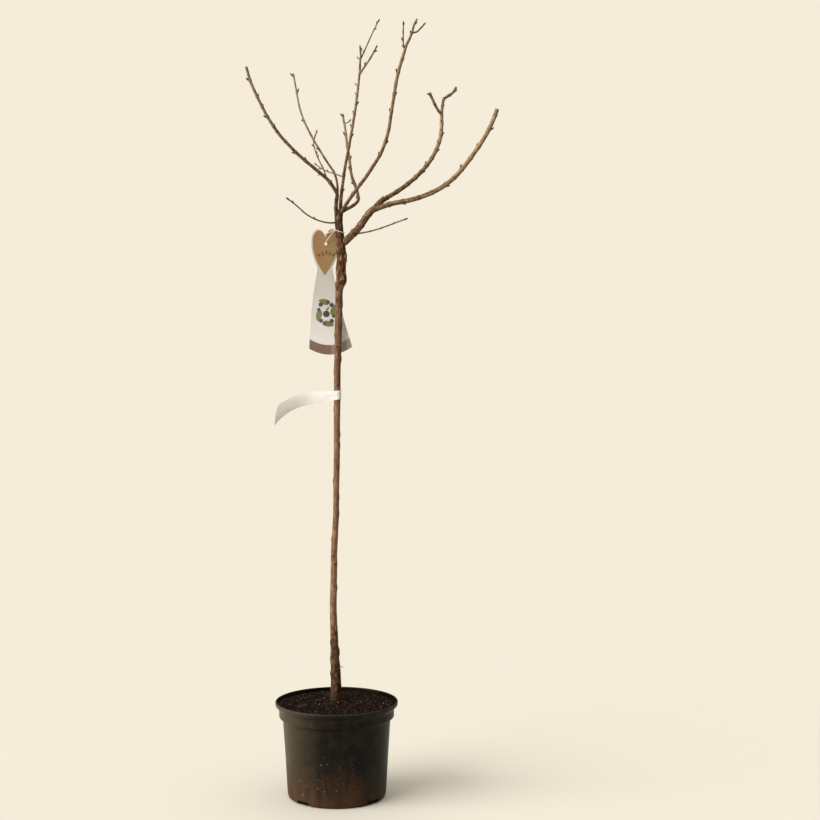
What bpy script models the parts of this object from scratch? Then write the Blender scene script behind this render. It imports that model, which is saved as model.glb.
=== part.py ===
# Potted jostaberry grown as a half standard: a grafted stem with a bare winter head, in a round pot.
# Metres, +Z up, +X to the right and +Y to the back.
# The origin is the centre of the pot's flat underside.

import math
import random

import bmesh
import bpy
from mathutils import Vector

MM = 0.001
GAP = 0.3 * MM              # clearance between pieces that touch
WELD = 0.01 * MM            # vertices closer than this are one
SEED = 41

# Pot: a thin moulded wall with a rolled lip, a collar and a tapered body
POT_HEIGHT = 173 * MM
LIP_RADIUS = 109 * MM
LIP_DEPTH = 6.5 * MM
LIP_WIDTH = 3 * MM
COLLAR_RADIUS = 102.2 * MM
COLLAR_FOOT = 145 * MM      # height of the collar's lower edge
NECK_RADIUS = 95.7 * MM     # body just under the collar
FOOT_RADIUS = 87.8 * MM
BASE_RADIUS = 82 * MM
FOOT_HEIGHT = 8 * MM
POT_WALL = 1.6 * MM
POT_FLOOR = 2 * MM
POT_SIDES = 48
NOTCHES = 4                 # drainage notches round the foot
NOTCH_TURN = 49             # degrees from +X to the first notch
NOTCH_WIDTH = 28 * MM
NOTCH_HEIGHT = 9 * MM
NOTCH_START = 66 * MM       # distance from the centre

# Compost, a little higher round the stem
SOIL_EDGE = 162 * MM
SOIL_CROWN = 168 * MM
SOIL_FLAT = 46 * MM         # radius of the level middle

# Stem: height above the compost, sway to the right of the origin, and girth, all in mm
STEM_STATIONS = [
    (0, -1.5, 21.2),
    (40, -2.2, 18.2),
    (100, -4.6, 14.2),
    (165, -6.3, 12.4),
    (250, -4.8, 11.4),
    (350, -0.6, 10.6),
    (450, 1.1, 11.0),
    (580, 2.3, 11.8),
    (660, 4.5, 12.4),
    (728, 6.0, 12.8),
    (752, 9.6, 16.2),       # the graft swells and steps to the right
    (800, 10.4, 16.6),
    (830, 7.8, 15.2),
    (853, 5.8, 13.6),
    (877, 9.6, 11.2),
]
STEM_BACK = (26 * MM, 10 * MM)   # distance behind the origin at the foot and at the fork
STEM_RING_STEP = 16 * MM
STEM_CUT = 2 * MM                # the foot is upright for this height over its flat cut
KNOT_SPACING = 92 * MM
KNOT_PLAY = 0.25
KNOT_FIRST = 60 * MM
KNOT_TOP = 728 * MM              # no knots from the graft up
KNOT_SIZE = (9 * MM, 4.2 * MM)   # length and girth
KNOT_SINK = 0.9 * MM             # how deep a knot sits in the bark
KNOT_LEAN = 0.25                 # how far a knot stands off the stem's way

RING_STEP = 15 * MM         # between the rings of a bough
TWIG_STEP = 12 * MM
BUD_LENGTH = 5.2 * MM
BUD_GIRTH = 2.7 * MM
BUD_SIDES = 5
BUD_SEAT = 0.75             # its root lies this share of the shoot's radius out
BUD_LIFT = 0.3              # its middle stands off its root by this share of its length
BOUGH_BUDS = (22 * MM, 27 * MM)   # distance to the first bud, and from one to the next
TWIG_BUDS = (16 * MM, 20 * MM)
BUD_TURN = 144              # degrees round the shoot from one bud to the next
BUD_TURN_PLAY = 18
BUD_PLAY = 0.2              # share by which their spacing and size vary
BUD_LEAN = 32               # degrees that a bud stands off its shoot
TIP_BUD_GIRTH = 1.15        # times the shoot's own girth there
TIP_BUD_SINK = 0.8 * MM
COLLAR_REACH = 14 * MM      # how far a limb's thick foot reaches along it

# Boughs. Each stands on another limb, "at" metres along it, or before its tip where negative.
# Leans are degrees from upright and headings degrees from +X towards +Y, spread evenly along the limb.
# Girth is the diameter in mm at the foot, past the foot and at the tip.
BOUGHS = {
    "fork_left": dict(
        on="trunk", at=838 * MM, length=66 * MM, girth=(7.4, 6.8, 6.4), cut_by=["trunk"],
        leans=(24, 5, 4, 19), headings=(-180, -140, -65, -45)),
    "bough_left": dict(
        on="fork_left", at=-1.5 * MM, length=276 * MM, girth=(6.4, 6.2, 4.8), cut_by=["fork_left"],
        leans=(30, 53, 51, 42, 31, 28, 16), headings=(-145, -160, -160, -160, -155, -150, -140)),
    "bough_back_left": dict(
        on="fork_left", at=-1.5 * MM, length=256 * MM, girth=(4.8, 4.0, 3.3),
        cut_by=["fork_left", "bough_left"],
        leans=(20, 39, 39, 34, 24, 26), headings=(80, 145, 140, 135, 115, 115)),
    "bough_centre": dict(
        on="trunk", at=-5 * MM, length=230 * MM, girth=(8.6, 5.4, 4.2), cut_by=["trunk"],
        leans=(6, 11, 14, 12, 12, 7), headings=(-55, -45, -35, -35, -40, -45)),
    "bough_front": dict(
        on="trunk", at=864 * MM, length=322 * MM, girth=(8.6, 6.2, 5.4), cut_by=["trunk", "bough_centre"],
        leans=(39, 43, 37, 20, 23, 27), headings=(-45, -30, -35, -65, -65, -45)),
    "bough_crooked": dict(
        on="trunk", at=867 * MM, length=189 * MM, girth=(7.0, 6.2, 4.2),
        cut_by=["trunk", "bough_centre", "bough_front"],
        leans=(56, 64, 31, 25, 15, 23, 14, 22), headings=(55, 0, 105, 150, 115, 115, 115, 115)),
    "bough_right": dict(
        on="trunk", at=812 * MM, length=92 * MM, girth=(14.6, 12.8, 12.0), cut_by=["trunk"],
        leans=(50, 48, 34, 50), headings=(-20, -20, -20, -20)),
    "bough_right_inner": dict(
        on="bough_right", at=-6 * MM, length=235 * MM, girth=(9.8, 8.4, 6.4), cut_by=["bough_right"],
        leans=(50, 61, 54, 40, 29, 11), headings=(35, 25, 30, 30, 60, 95)),
    "bough_right_outer": dict(
        on="bough_right", at=-9 * MM, length=300 * MM, girth=(9.8, 8.9, 6.9),
        cut_by=["bough_right", "bough_right_inner"],
        leans=(67, 81, 64, 40, 36, 19), headings=(-15, -10, -15, -20, -25, -30)),
}

# Twig masses. Each is one stem, the arms that fork from it, and spurs dealt out by the seeded rule.
TWIG_MASSES = {
    "twigs_centre": dict(
        on="bough_centre", length=53 * MM, girth=(4.1, 3.8, 2.8),
        leans=(15, 4, 12, 18), headings=(-50, -55, -70, -120),
        arms=[
            dict(at=6 * MM, length=62 * MM, girth=(3.8, 3.5, 2.8),
                 leans=(47, 45, 40), headings=(-45, -45, -50)),
            dict(at=32 * MM, length=84 * MM, girth=(3.0, 2.6, 2.0),
                 leans=(33, 34, 35), headings=(50, 50, 45)),
        ]),
    "twigs_front": dict(
        on="bough_front", length=59 * MM, girth=(5.3, 4.5, 3.2),
        leans=(21, 36, 20, 41), headings=(-45, -40, -45, -40),
        arms=[
            dict(at=2 * MM, length=44 * MM, girth=(2.8, 2.4, 2.0),
                 leans=(33, -9, 29), headings=(-135, -105, -75)),
            dict(at=34 * MM, length=31 * MM, girth=(3.4, 3.0, 2.4),
                 leans=(93, 49, 47), headings=(40, 30, 40)),
        ]),
    "twigs_right": dict(
        on="bough_right_inner", length=68 * MM, girth=(5.3, 5.6, 4.6),
        leans=(26, 18, 67, 25), headings=(80, 75, 20, 35),
        arms=[
            dict(at=3 * MM, length=48 * MM, girth=(5.2, 5.4, 4.8),
                 leans=(52, 31, 37), headings=(-150, -135, -140)),
        ]),
    "twigs_crooked": dict(
        on="bough_crooked", length=22 * MM, girth=(4.2, 4.0, 3.2),
        leans=(27, 26, 24), headings=(115, 110, 105),
        arms=[
            dict(at=5 * MM, length=14 * MM, girth=(2.4, 2.0, 1.8),
                 leans=(111, 45), headings=(-30, -45)),
        ]),
    "twigs_left": dict(
        on="bough_left", at=34 * MM, length=91 * MM, girth=(3.0, 2.4, 2.0), cut_by=["bough_left"],
        leans=(20, 31, 26, 20), headings=(130, 155, 125, 10), arms=[]),
    "twigs_middle": dict(
        on="bough_centre", at=59 * MM, length=67 * MM, girth=(2.8, 2.3, 1.9), cut_by=["bough_centre"],
        leans=(75, 73, 57), headings=(145, 145, 140), arms=[]),
    "twigs_low_right": dict(
        on="bough_right", at=31 * MM, length=108 * MM, girth=(3.4, 2.8, 2.3), cut_by=["bough_right"],
        leans=(87, 77, 73, 73), headings=(-15, -30, -35, -30), arms=[]),
    "twigs_low_left": dict(
        on="fork_left", at=15 * MM, length=101 * MM, girth=(3.4, 2.8, 2.3), cut_by=["fork_left", "trunk"],
        leans=(98, 71, 51, 55), headings=(-165, -160, -155, -155), arms=[]),
}
SPUR_LENGTH = (3 * MM, 7 * MM)
SPUR_GIRTH = 1.8 * MM
SPUR_PLACE = (0.45, 0.65)       # share of the way along its shoot

# Pruned stubs and a dead spur, each grown into the limb that it stands on
STUBS = [
    dict(on="trunk", at=61 * MM, length=15 * MM, girth=1.8, lean=92, heading=-5),
    dict(on="bough_right_inner", at=2 * MM, length=27 * MM, girth=9.6, lean=44, heading=8),
    dict(on="twigs_right", at=33 * MM, length=4.5 * MM, girth=4.0, lean=12, heading=180),
]

# Hang tag: a flat card with a heart-shaped head and a flared skirt, on a loop of elastic round the stem
TAG_THICKNESS = 0.8 * MM
TAG_HEART = (25.4 * MM, 65 * MM)     # half width of the heart, and its depth under the shoulders
TAG_TAPER = 1.76                     # how full the heart's sides are before they run in
TAG_SHOULDER = 197 * MM              # height of the heart's widest place
TAG_LOBE = (13.2 * MM, 24 * MM)      # half width and height of each lobe over the shoulders
TAG_SKIRT = 38 * MM                  # half width at the lower corners
TAG_WAIST = 13.5 * MM                # half width where the skirt runs into the heart
TAG_WAIST_HEIGHT = 150 * MM
TAG_SAG = 12 * MM                    # the lower edge bulges down by this
TAG_BOW = 5 * MM                     # the card's middle line bows to the left by this
TAG_HOLE = Vector((-17.3, 24.2, 982.6)) * MM
TAG_HOLE_RADIUS = 2.4 * MM
TAG_HOLE_HEIGHT = 195 * MM           # above the lowest point of the card
TAG_SWING = 2.5                      # degrees out of upright
LOOP_GIRTH = 1.2 * MM
LOOP_HEIGHT = 1004 * MM
LOOP_TILT = 2.5 * MM                 # the loop's left side is this much higher
LOOP_NOTCH_RISE = 6 * MM             # it crosses the card this high over the notch
LOOP_ROOM = 1.5 * MM                 # round the stem, besides the clearance

# Label: a strip wrapped round the stem, its free end drooping to the left
LABEL_HEIGHT = 717 * MM
LABEL_WIDTH = (16, 20, 21.5, 21.5)   # mm, from the wrap to the free end
LABEL_THICKNESS = 0.5 * MM
LABEL_WRAP = 330                     # degrees round the stem
LABEL_TILT = 1.4 * MM                # the wrap's left side is this much lower
LABEL_TAIL = 118 * MM
LABEL_SAG = 11.6 * MM                # even droop of the tail, and the curl of its end
LABEL_CURL = 34 * MM
LABEL_CURL_POWER = 4
LABEL_SWING = 14 * MM                # the tail's end comes this far forward
LABEL_SLANT = 0.18                   # the end is cut aslant by this share of the tail


def new_collection(name):
    collection = bpy.data.collections.new(name)
    bpy.context.scene.collection.children.link(collection)
    return collection


def finish_material(name, color, roughness, metallic=0.0):
    material = bpy.data.materials.new(name)
    material.use_nodes = True
    shader = material.node_tree.nodes["Principled BSDF"]
    shader.inputs["Base Color"].default_value = (*color, 1.0)
    shader.inputs["Roughness"].default_value = roughness
    shader.inputs["Metallic"].default_value = metallic
    material.diffuse_color = (*color, 1.0)
    return material


def new_object(name, data, material, collection):
    obj = bpy.data.objects.new(name, data)
    if material:
        obj.data.materials.append(material)
    collection.objects.link(obj)
    return obj


def evaluated_mesh(obj):
    # The object's mesh with its modifiers done and its doubled vertices joined
    graph = bpy.context.evaluated_depsgraph_get()
    mesh = bpy.data.meshes.new_from_object(obj.evaluated_get(graph))
    bm = bmesh.new()
    bm.from_mesh(mesh)
    bmesh.ops.remove_doubles(bm, verts=bm.verts, dist=WELD)
    bm.to_mesh(mesh)
    bm.free()
    return mesh


def curve_to_mesh(curve_object, collection):
    # A curve takes no Boolean, so it becomes a mesh object of the same name and place
    name = curve_object.name
    mesh = evaluated_mesh(curve_object)
    place = curve_object.matrix_world.copy()
    bpy.data.objects.remove(curve_object)
    obj = bpy.data.objects.new(name, mesh)
    obj.matrix_world = place
    collection.objects.link(obj)
    return obj


def tube(name, points, radii, detail, material, collection, closed=False):
    # A round tube whose radius changes along it
    curve = bpy.data.curves.new(name, "CURVE")
    curve.dimensions = "3D"
    curve.bevel_depth = 1.0
    curve.bevel_resolution = detail
    curve.use_fill_caps = True
    curve.twist_mode = "MINIMUM"
    spline = curve.splines.new("POLY")
    spline.points.add(len(points) - 1)
    spline.use_cyclic_u = closed
    for knot, point, radius in zip(spline.points, points, radii):
        knot.co = (*point, 1.0)
        knot.radius = radius
    return curve_to_mesh(new_object(name, curve, material, collection), collection)


def boolean(obj, operation, target=None, pool=None):
    modifier = obj.modifiers.new(operation.lower(), "BOOLEAN")
    modifier.operation = operation
    modifier.solver = "EXACT"
    if pool:
        modifier.operand_type = "COLLECTION"
        modifier.collection = pool
    else:
        modifier.object = target
    return modifier


def fuse(obj, extras):
    # Joins small pieces to the object, then removes them
    if not extras:
        return
    pool = new_collection(obj.name + "_pieces")
    for extra in extras:
        for holder in list(extra.users_collection):
            holder.objects.unlink(extra)
        pool.objects.link(extra)
    boolean(obj, "UNION", pool=pool)
    mesh = evaluated_mesh(obj)
    obj.modifiers.clear()
    obj.data = mesh
    for extra in extras:
        bpy.data.objects.remove(extra)
    bpy.data.collections.remove(pool)


def spread(values, share):
    # Evenly spread values, read at a share of the way along
    place = min(max(share, 0.0), 1.0) * (len(values) - 1)
    index = min(int(place), len(values) - 2)
    return values[index] + (values[index + 1] - values[index]) * (place - index)


def toward(lean, heading):
    # The direction with a lean from upright and a heading from +X towards +Y, in degrees
    lean = math.radians(lean)
    heading = math.radians(heading)
    return Vector((math.sin(lean) * math.cos(heading), math.sin(lean) * math.sin(heading), math.cos(lean)))


def limb_path(foot, limb, step):
    # Points and radii of a limb that grows from its foot by its leans and headings
    count = max(3, round(limb["length"] / step))
    points = [foot.copy()]
    for index in range(count):
        share = (index + 0.5) / count
        way = toward(spread(limb["leans"], share), spread(limb["headings"], share))
        points.append(points[-1] + way * (limb["length"] / count))
    foot_girth, girth, tip_girth = limb["girth"]
    radii = []
    for index in range(count + 1):
        share = index / count
        collar = (foot_girth - girth) * math.exp(-share * limb["length"] / COLLAR_REACH)
        radii.append((girth + (tip_girth - girth) * share + collar) / 2 * MM)
    return points, radii


def stem_at(height):
    # Sway and radius of the stem at a height above the compost, eased between the stations
    height_mm = height / MM
    for low, high in zip(STEM_STATIONS, STEM_STATIONS[1:]):
        if height_mm <= high[0]:
            break
    share = min(1.0, (height_mm - low[0]) / (high[0] - low[0]))
    eased = share * share * (3 - 2 * share)
    sway = low[1] + (high[1] - low[1]) * eased
    girth = low[2] + (high[2] - low[2]) * eased
    return sway * MM, girth / 2 * MM


def stem_path():
    height = STEM_STATIONS[-1][0] * MM
    count = round(height / STEM_RING_STEP)
    foot = SOIL_CROWN + GAP
    points = []
    radii = []
    for index in range(count + 1):
        rise = height * index / count
        sway, radius = stem_at(rise)
        back = STEM_BACK[0] + (STEM_BACK[1] - STEM_BACK[0]) * index / count
        points.append(Vector((sway, back, foot + rise)))
        radii.append(radius)
    # The first ring is level, because the foot is cut flat on the compost
    points.insert(1, points[0] + Vector((0, 0, STEM_CUT)))
    radii.insert(1, radii[0])
    return points, radii


def point_along(path, distance):
    # A point of a path, a distance from its foot, or before its tip where negative
    points = path[0]
    lengths = [(b - a).length for a, b in zip(points, points[1:])]
    if distance < 0:
        distance += sum(lengths)
    for start, end, length in zip(points, points[1:], lengths):
        if distance <= length:
            return start.lerp(end, distance / length), (end - start).normalized()
        distance -= length
    return points[-1].copy(), (points[-1] - points[-2]).normalized()


def lay_out_limbs():
    # Paths of the stem, the boughs and the masses' stems, each from its foot on the one before
    paths = {"trunk": stem_path()}
    for name, bough in BOUGHS.items():
        foot, _ = point_along(paths[bough["on"]], bough["at"])
        paths[name] = limb_path(foot, bough, RING_STEP)
    for name, mass in TWIG_MASSES.items():
        if "at" in mass:
            foot, _ = point_along(paths[mass["on"]], mass["at"])
        else:
            tip, way = point_along(paths[mass["on"]], -0.01 * MM)
            foot = tip + way * 1.5 * GAP
        paths[name] = limb_path(foot, mass, TWIG_STEP)
    return paths


def is_clear(place, reach, own, paths):
    # Whether a small piece keeps clear of every other limb
    for name, (points, radii) in paths.items():
        if name == own:
            continue
        for point, radius in zip(points, radii):
            if (point - place).length < radius + reach + RING_STEP / 2:
                return False
    return True


def frame_of(way):
    # Two directions square to a limb's way
    side = way.cross(Vector((0, 0, 1)))
    if side.length < 0.05:
        side = Vector((1, 0, 0))
    side.normalize()
    return side, side.cross(way).normalized()


def bud(name, root, axis, length, girth, collection):
    # A pointed bud: two small pyramids, base to base, along its axis
    mesh = bpy.data.meshes.new(name)
    bm = bmesh.new()
    bmesh.ops.create_uvsphere(bm, u_segments=BUD_SIDES, v_segments=2, radius=1.0)
    for vertex in bm.verts:
        vertex.co.x *= girth / 2
        vertex.co.y *= girth / 2
        vertex.co.z *= length / 2
    bm.to_mesh(mesh)
    bm.free()
    obj = bpy.data.objects.new(name, mesh)
    obj.rotation_mode = "QUATERNION"
    obj.rotation_quaternion = axis.to_track_quat("Z", "Y")
    obj.location = root + axis * length * BUD_LIFT
    collection.objects.link(obj)
    return obj


def buds_on(name, path, own, paths, collection, places, luck):
    # Buds in a spiral along a shoot, skipped where another limb is near
    points, radii = path
    total = sum((b - a).length for a, b in zip(points, points[1:]))
    buds = []
    distance, spacing = places
    turn = luck.uniform(0, 360)
    while distance < total - BUD_LENGTH:
        root, way = point_along(path, distance)
        side, up = frame_of(way)
        angle = math.radians(turn)
        out = side * math.cos(angle) + up * math.sin(angle)
        lean = math.radians(BUD_LEAN)
        axis = (way * math.cos(lean) + out * math.sin(lean)).normalized()
        radius = spread(radii, distance / total)
        if is_clear(root, BUD_LENGTH, own, paths):
            size = luck.uniform(1 - BUD_PLAY, 1 + BUD_PLAY)
            place = root + out * radius * BUD_SEAT
            buds.append(bud(f"{name}_bud", place, axis, BUD_LENGTH * size, BUD_GIRTH * size, collection))
        distance += spacing * luck.uniform(1 - BUD_PLAY, 1 + BUD_PLAY)
        turn += BUD_TURN + luck.uniform(-BUD_TURN_PLAY, BUD_TURN_PLAY)
    return buds


def stub_paths(name, path):
    # Points and radii of the stubs on a limb
    stubs = []
    for stub in STUBS:
        if stub["on"] == name:
            root, _ = point_along(path, stub["at"])
            end = root + toward(stub["lean"], stub["heading"]) * stub["length"]
            stubs.append(([root, end], [stub["girth"] / 2 * MM] * 2))
    return stubs


def stubs_on(name, path, collection):
    return [tube(f"{name}_stub", *stub, 1, None, collection) for stub in stub_paths(name, path)]


def grown_cutter(name, path, detail, collection):
    # The limb's own shape, larger by the clearance, which clears the feet of the limbs that stand on it
    points = [point.copy() for point in path[0]]
    points[0] -= (points[1] - points[0]).normalized() * GAP
    points[-1] += (points[-1] - points[-2]).normalized() * GAP
    radii = [radius + GAP for radius in path[1]]
    cutter = tube(f"{name}_clearance", points, radii, detail, None, collection)
    hide_guide(cutter)
    return cutter


def clear_of(obj, others, cutters):
    # Cuts the limb back from the limbs that it meets, and from their stubs
    for other in others:
        for suffix in ("clearance", "stub_clearance"):
            cutter = cutters.objects.get(f"{other}_{suffix}")
            if cutter:
                boolean(obj, "DIFFERENCE", cutter)


def hide_guide(obj):
    obj.hide_render = True
    obj.display_type = "WIRE"


def turned(name, profile, sides, material, collection):
    # A profile of radii and heights, turned once round the upright axis
    mesh = bpy.data.meshes.new(name)
    vertices = [(radius, 0.0, height) for radius, height in profile]
    edges = [(index, index + 1) for index in range(len(profile) - 1)]
    mesh.from_pydata(vertices, edges, [])
    obj = new_object(name, mesh, material, collection)
    screw = obj.modifiers.new("turn", "SCREW")
    screw.axis = "Z"
    screw.steps = sides
    screw.render_steps = sides
    screw.use_merge_vertices = True
    screw.merge_threshold = WELD
    screw.use_smooth_shade = True
    return obj


def pot_inside(inset):
    # The pot's inner wall from under the lip to the floor, drawn in by an inset
    collar = COLLAR_RADIUS - POT_WALL - inset
    neck = NECK_RADIUS - POT_WALL - inset
    foot = FOOT_RADIUS - POT_WALL - inset
    floor = POT_FLOOR + inset
    return [
        (collar, POT_HEIGHT - 14 * MM),
        (collar, COLLAR_FOOT + 1.5 * MM + inset),
        (neck, COLLAR_FOOT - 4 * MM + inset),
        (foot, FOOT_HEIGHT),
        (foot - 2 * MM, floor),
    ]


def make_pot(material, collection, cutters):
    lip_inside = LIP_RADIUS - LIP_WIDTH
    outside = [
        (lip_inside + 0.8 * MM, POT_HEIGHT),
        (LIP_RADIUS - 0.8 * MM, POT_HEIGHT),
        (LIP_RADIUS, POT_HEIGHT - 0.8 * MM),
        (LIP_RADIUS - 0.3 * MM, POT_HEIGHT - LIP_DEPTH),
        (LIP_RADIUS - 2 * MM, POT_HEIGHT - LIP_DEPTH - 2 * MM),
        (COLLAR_RADIUS + 1.2 * MM, POT_HEIGHT - LIP_DEPTH - 5 * MM),
        (COLLAR_RADIUS, POT_HEIGHT - LIP_DEPTH - 9 * MM),
        (COLLAR_RADIUS, COLLAR_FOOT + 1 * MM),
        (COLLAR_RADIUS - 1.5 * MM, COLLAR_FOOT - 0.5 * MM),
        (NECK_RADIUS, COLLAR_FOOT - 4 * MM),
        (FOOT_RADIUS, FOOT_HEIGHT),
        (FOOT_RADIUS - 1.5 * MM, FOOT_HEIGHT * 0.4),
        (BASE_RADIUS, 0.0),
        (0.0, 0.0),
    ]
    # The inner wall is climbed from the floor's middle to the lip
    inside = [(0.0, POT_FLOOR)] + list(reversed(pot_inside(0.0)))
    lip = [(lip_inside, POT_HEIGHT - LIP_DEPTH - 1 * MM), (lip_inside, POT_HEIGHT - 0.8 * MM)]
    pot = turned("pot", inside + lip + outside, POT_SIDES, material, collection)
    notch_length = FOOT_RADIUS + 10 * MM - NOTCH_START
    for index in range(NOTCHES):
        angle = math.radians(NOTCH_TURN + index * 360 / NOTCHES)
        reach = NOTCH_START + notch_length / 2
        bpy.ops.mesh.primitive_cube_add(size=1.0, rotation=(0, 0, angle))
        notch = bpy.context.active_object
        notch.name = f"notch_cutter_{index + 1}"
        notch.location = (math.cos(angle) * reach, math.sin(angle) * reach, 0.0)
        notch.scale = (notch_length, NOTCH_WIDTH, 2 * NOTCH_HEIGHT)
        for holder in list(notch.users_collection):
            holder.objects.unlink(notch)
        cutters.objects.link(notch)
        hide_guide(notch)
        boolean(pot, "DIFFERENCE", notch)
    return pot


def make_soil(material, collection):
    wall = pot_inside(GAP)
    edge_radius = wall[0][0]
    top = [
        (0.0, SOIL_CROWN),
        (SOIL_FLAT, SOIL_CROWN),
        (SOIL_FLAT + 24 * MM, SOIL_CROWN - 2.5 * MM),
        (edge_radius - 8 * MM, SOIL_EDGE + 0.6 * MM),
        (edge_radius, SOIL_EDGE),
    ]
    return turned("compost", top + wall[1:] + [(0.0, POT_FLOOR + GAP)], POT_SIDES, material, collection)


def make_trunk(paths, material, collection, luck):
    points, radii = paths["trunk"]
    trunk = tube("trunk", points, radii, 3, material, collection)
    knots = []
    distance = KNOT_FIRST
    turn = luck.uniform(0, 360)
    while distance < KNOT_TOP:
        root, way = point_along(paths["trunk"], distance)
        side, up = frame_of(way)
        out = side * math.cos(math.radians(turn)) + up * math.sin(math.radians(turn))
        _, radius = stem_at(distance)
        place = root + out * (radius - KNOT_SINK)
        knots.append(bud("knot", place, (way + out * KNOT_LEAN).normalized(), *KNOT_SIZE, collection))
        distance += KNOT_SPACING * luck.uniform(1 - KNOT_PLAY, 1 + KNOT_PLAY)
        turn += BUD_TURN
    fuse(trunk, knots + stubs_on("trunk", paths["trunk"], collection))
    return trunk


def make_bough(name, bough, paths, material, collection, cutters, luck):
    points, radii = paths[name]
    obj = tube(name, points, radii, 2, material, collection)
    buds = buds_on(name, paths[name], name, paths, collection, BOUGH_BUDS, luck)
    fuse(obj, buds + stubs_on(name, paths[name], collection))
    clear_of(obj, bough["cut_by"], cutters)
    return obj


def make_twig_mass(name, mass, paths, material, collection, cutters, luck):
    # One stem, its arms, the spurs of the seeded rule, and a bud at each tip
    points, radii = paths[name]
    stem = tube(name, points, radii, 1, material, collection)
    shoots = [paths[name]]
    pieces = stubs_on(name, paths[name], collection)
    for index, arm in enumerate(mass["arms"]):
        foot, _ = point_along(paths[name], arm["at"])
        shoots.append(limb_path(foot, arm, TWIG_STEP))
        pieces.append(tube(f"{name}_arm_{index}", *shoots[-1], 1, material, collection))
    for shoot in shoots:
        pieces += buds_on(name, shoot, name, paths, collection, TWIG_BUDS, luck)
        tip, way = point_along(shoot, -0.01 * MM)
        tip_girth = shoot[1][-1] * 2 * TIP_BUD_GIRTH
        pieces.append(bud(f"{name}_tip", tip - way * TIP_BUD_SINK, way, BUD_LENGTH, tip_girth, collection))
        root, way = point_along(shoot, luck.uniform(*SPUR_PLACE) * (len(shoot[0]) - 1) * TWIG_STEP)
        side, up = frame_of(way)
        turn = luck.uniform(0, 2 * math.pi)
        out = (side * math.cos(turn) + up * math.sin(turn) + way).normalized()
        reach = luck.uniform(*SPUR_LENGTH)
        if is_clear(root + out * reach, SPUR_GIRTH, name, paths):
            ends = [root, root + out * reach]
            pieces.append(tube(f"{name}_spur", ends, [SPUR_GIRTH / 2] * 2, 0, material, collection))
    fuse(stem, pieces)
    clear_of(stem, mass.get("cut_by", []), cutters)
    return stem


def tag_half_width(height):
    # Half the card's width at a height above its lowest point, up to the shoulders
    share = min(1.0, (height - TAG_SAG) / (TAG_WAIST_HEIGHT - TAG_SAG))
    skirt = TAG_SKIRT + (TAG_WAIST - TAG_SKIRT) * share
    rise = max(0.0, 1.0 - (TAG_SHOULDER - height) / TAG_HEART[1])
    return max(skirt, TAG_HEART[0] * (1 - (1 - rise) ** TAG_TAPER))


def tag_outline():
    # From the lower left corner along the sagging edge, up the right side, over both lobes and down the left
    base_count = 10
    side_count = 22
    lobe_count = 9
    outline = []
    for index in range(base_count):
        across = -1 + 2 * index / base_count
        outline.append((across * TAG_SKIRT, TAG_SAG * across * across))
    right = []
    for index in range(side_count):
        height = TAG_SAG + (TAG_SHOULDER - TAG_SAG) * index / side_count
        right.append((tag_half_width(height), height))
    lobe_middle = TAG_HEART[0] - TAG_LOBE[0]
    notch_turn = math.acos(-lobe_middle / TAG_LOBE[0])
    for index in range(lobe_count):
        turn = notch_turn * index / lobe_count
        across = lobe_middle + TAG_LOBE[0] * math.cos(turn)
        right.append((across, TAG_SHOULDER + TAG_LOBE[1] * math.sin(turn)))
    notch = (0.0, TAG_SHOULDER + TAG_LOBE[1] * math.sin(notch_turn))
    left = [(-x, y) for x, y in reversed(right)]
    outline += right + [notch] + left[:-1]
    bowed = []
    for x, y in outline:
        share = min(1.0, max(0.0, (y - TAG_SAG) / (TAG_HOLE_HEIGHT - TAG_SAG)))
        bowed.append((x - TAG_BOW * math.sin(math.pi * share), y))
    return bowed, notch[1]


def make_tag(material, collection):
    curve = bpy.data.curves.new("tag", "CURVE")
    curve.dimensions = "2D"
    curve.fill_mode = "BOTH"
    curve.extrude = TAG_THICKNESS / 2
    hole_sides = 12
    hole = []
    for index in range(hole_sides):
        angle = 2 * math.pi * index / hole_sides
        hole.append((TAG_HOLE_RADIUS * math.cos(angle), TAG_HOLE_HEIGHT + TAG_HOLE_RADIUS * math.sin(angle)))
    for outline in (tag_outline()[0], hole):
        spline = curve.splines.new("POLY")
        spline.points.add(len(outline) - 1)
        spline.use_cyclic_u = True
        for knot, (x, y) in zip(spline.points, outline):
            knot.co = (x, y - TAG_HOLE_HEIGHT, 0.0, 1.0)
    card = new_object("tag", curve, material, collection)
    card.location = TAG_HOLE
    card.rotation_euler = (math.radians(90), math.radians(-TAG_SWING), 0)
    bpy.context.view_layer.update()
    return curve_to_mesh(card, collection)


def smooth_loop(corners, per_corner):
    # A closed smooth curve through the given corners
    points = []
    count = len(corners)
    for index in range(count):
        before, start, end, after = (corners[(index + step) % count] for step in (-1, 0, 1, 2))
        for part in range(per_corner):
            t = part / per_corner
            points.append(0.5 * (
                2 * start + (end - before) * t
                + (2 * before - 5 * start + 4 * end - after) * t * t
                + (3 * start - before - 3 * end + after) * t * t * t))
    return points


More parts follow.
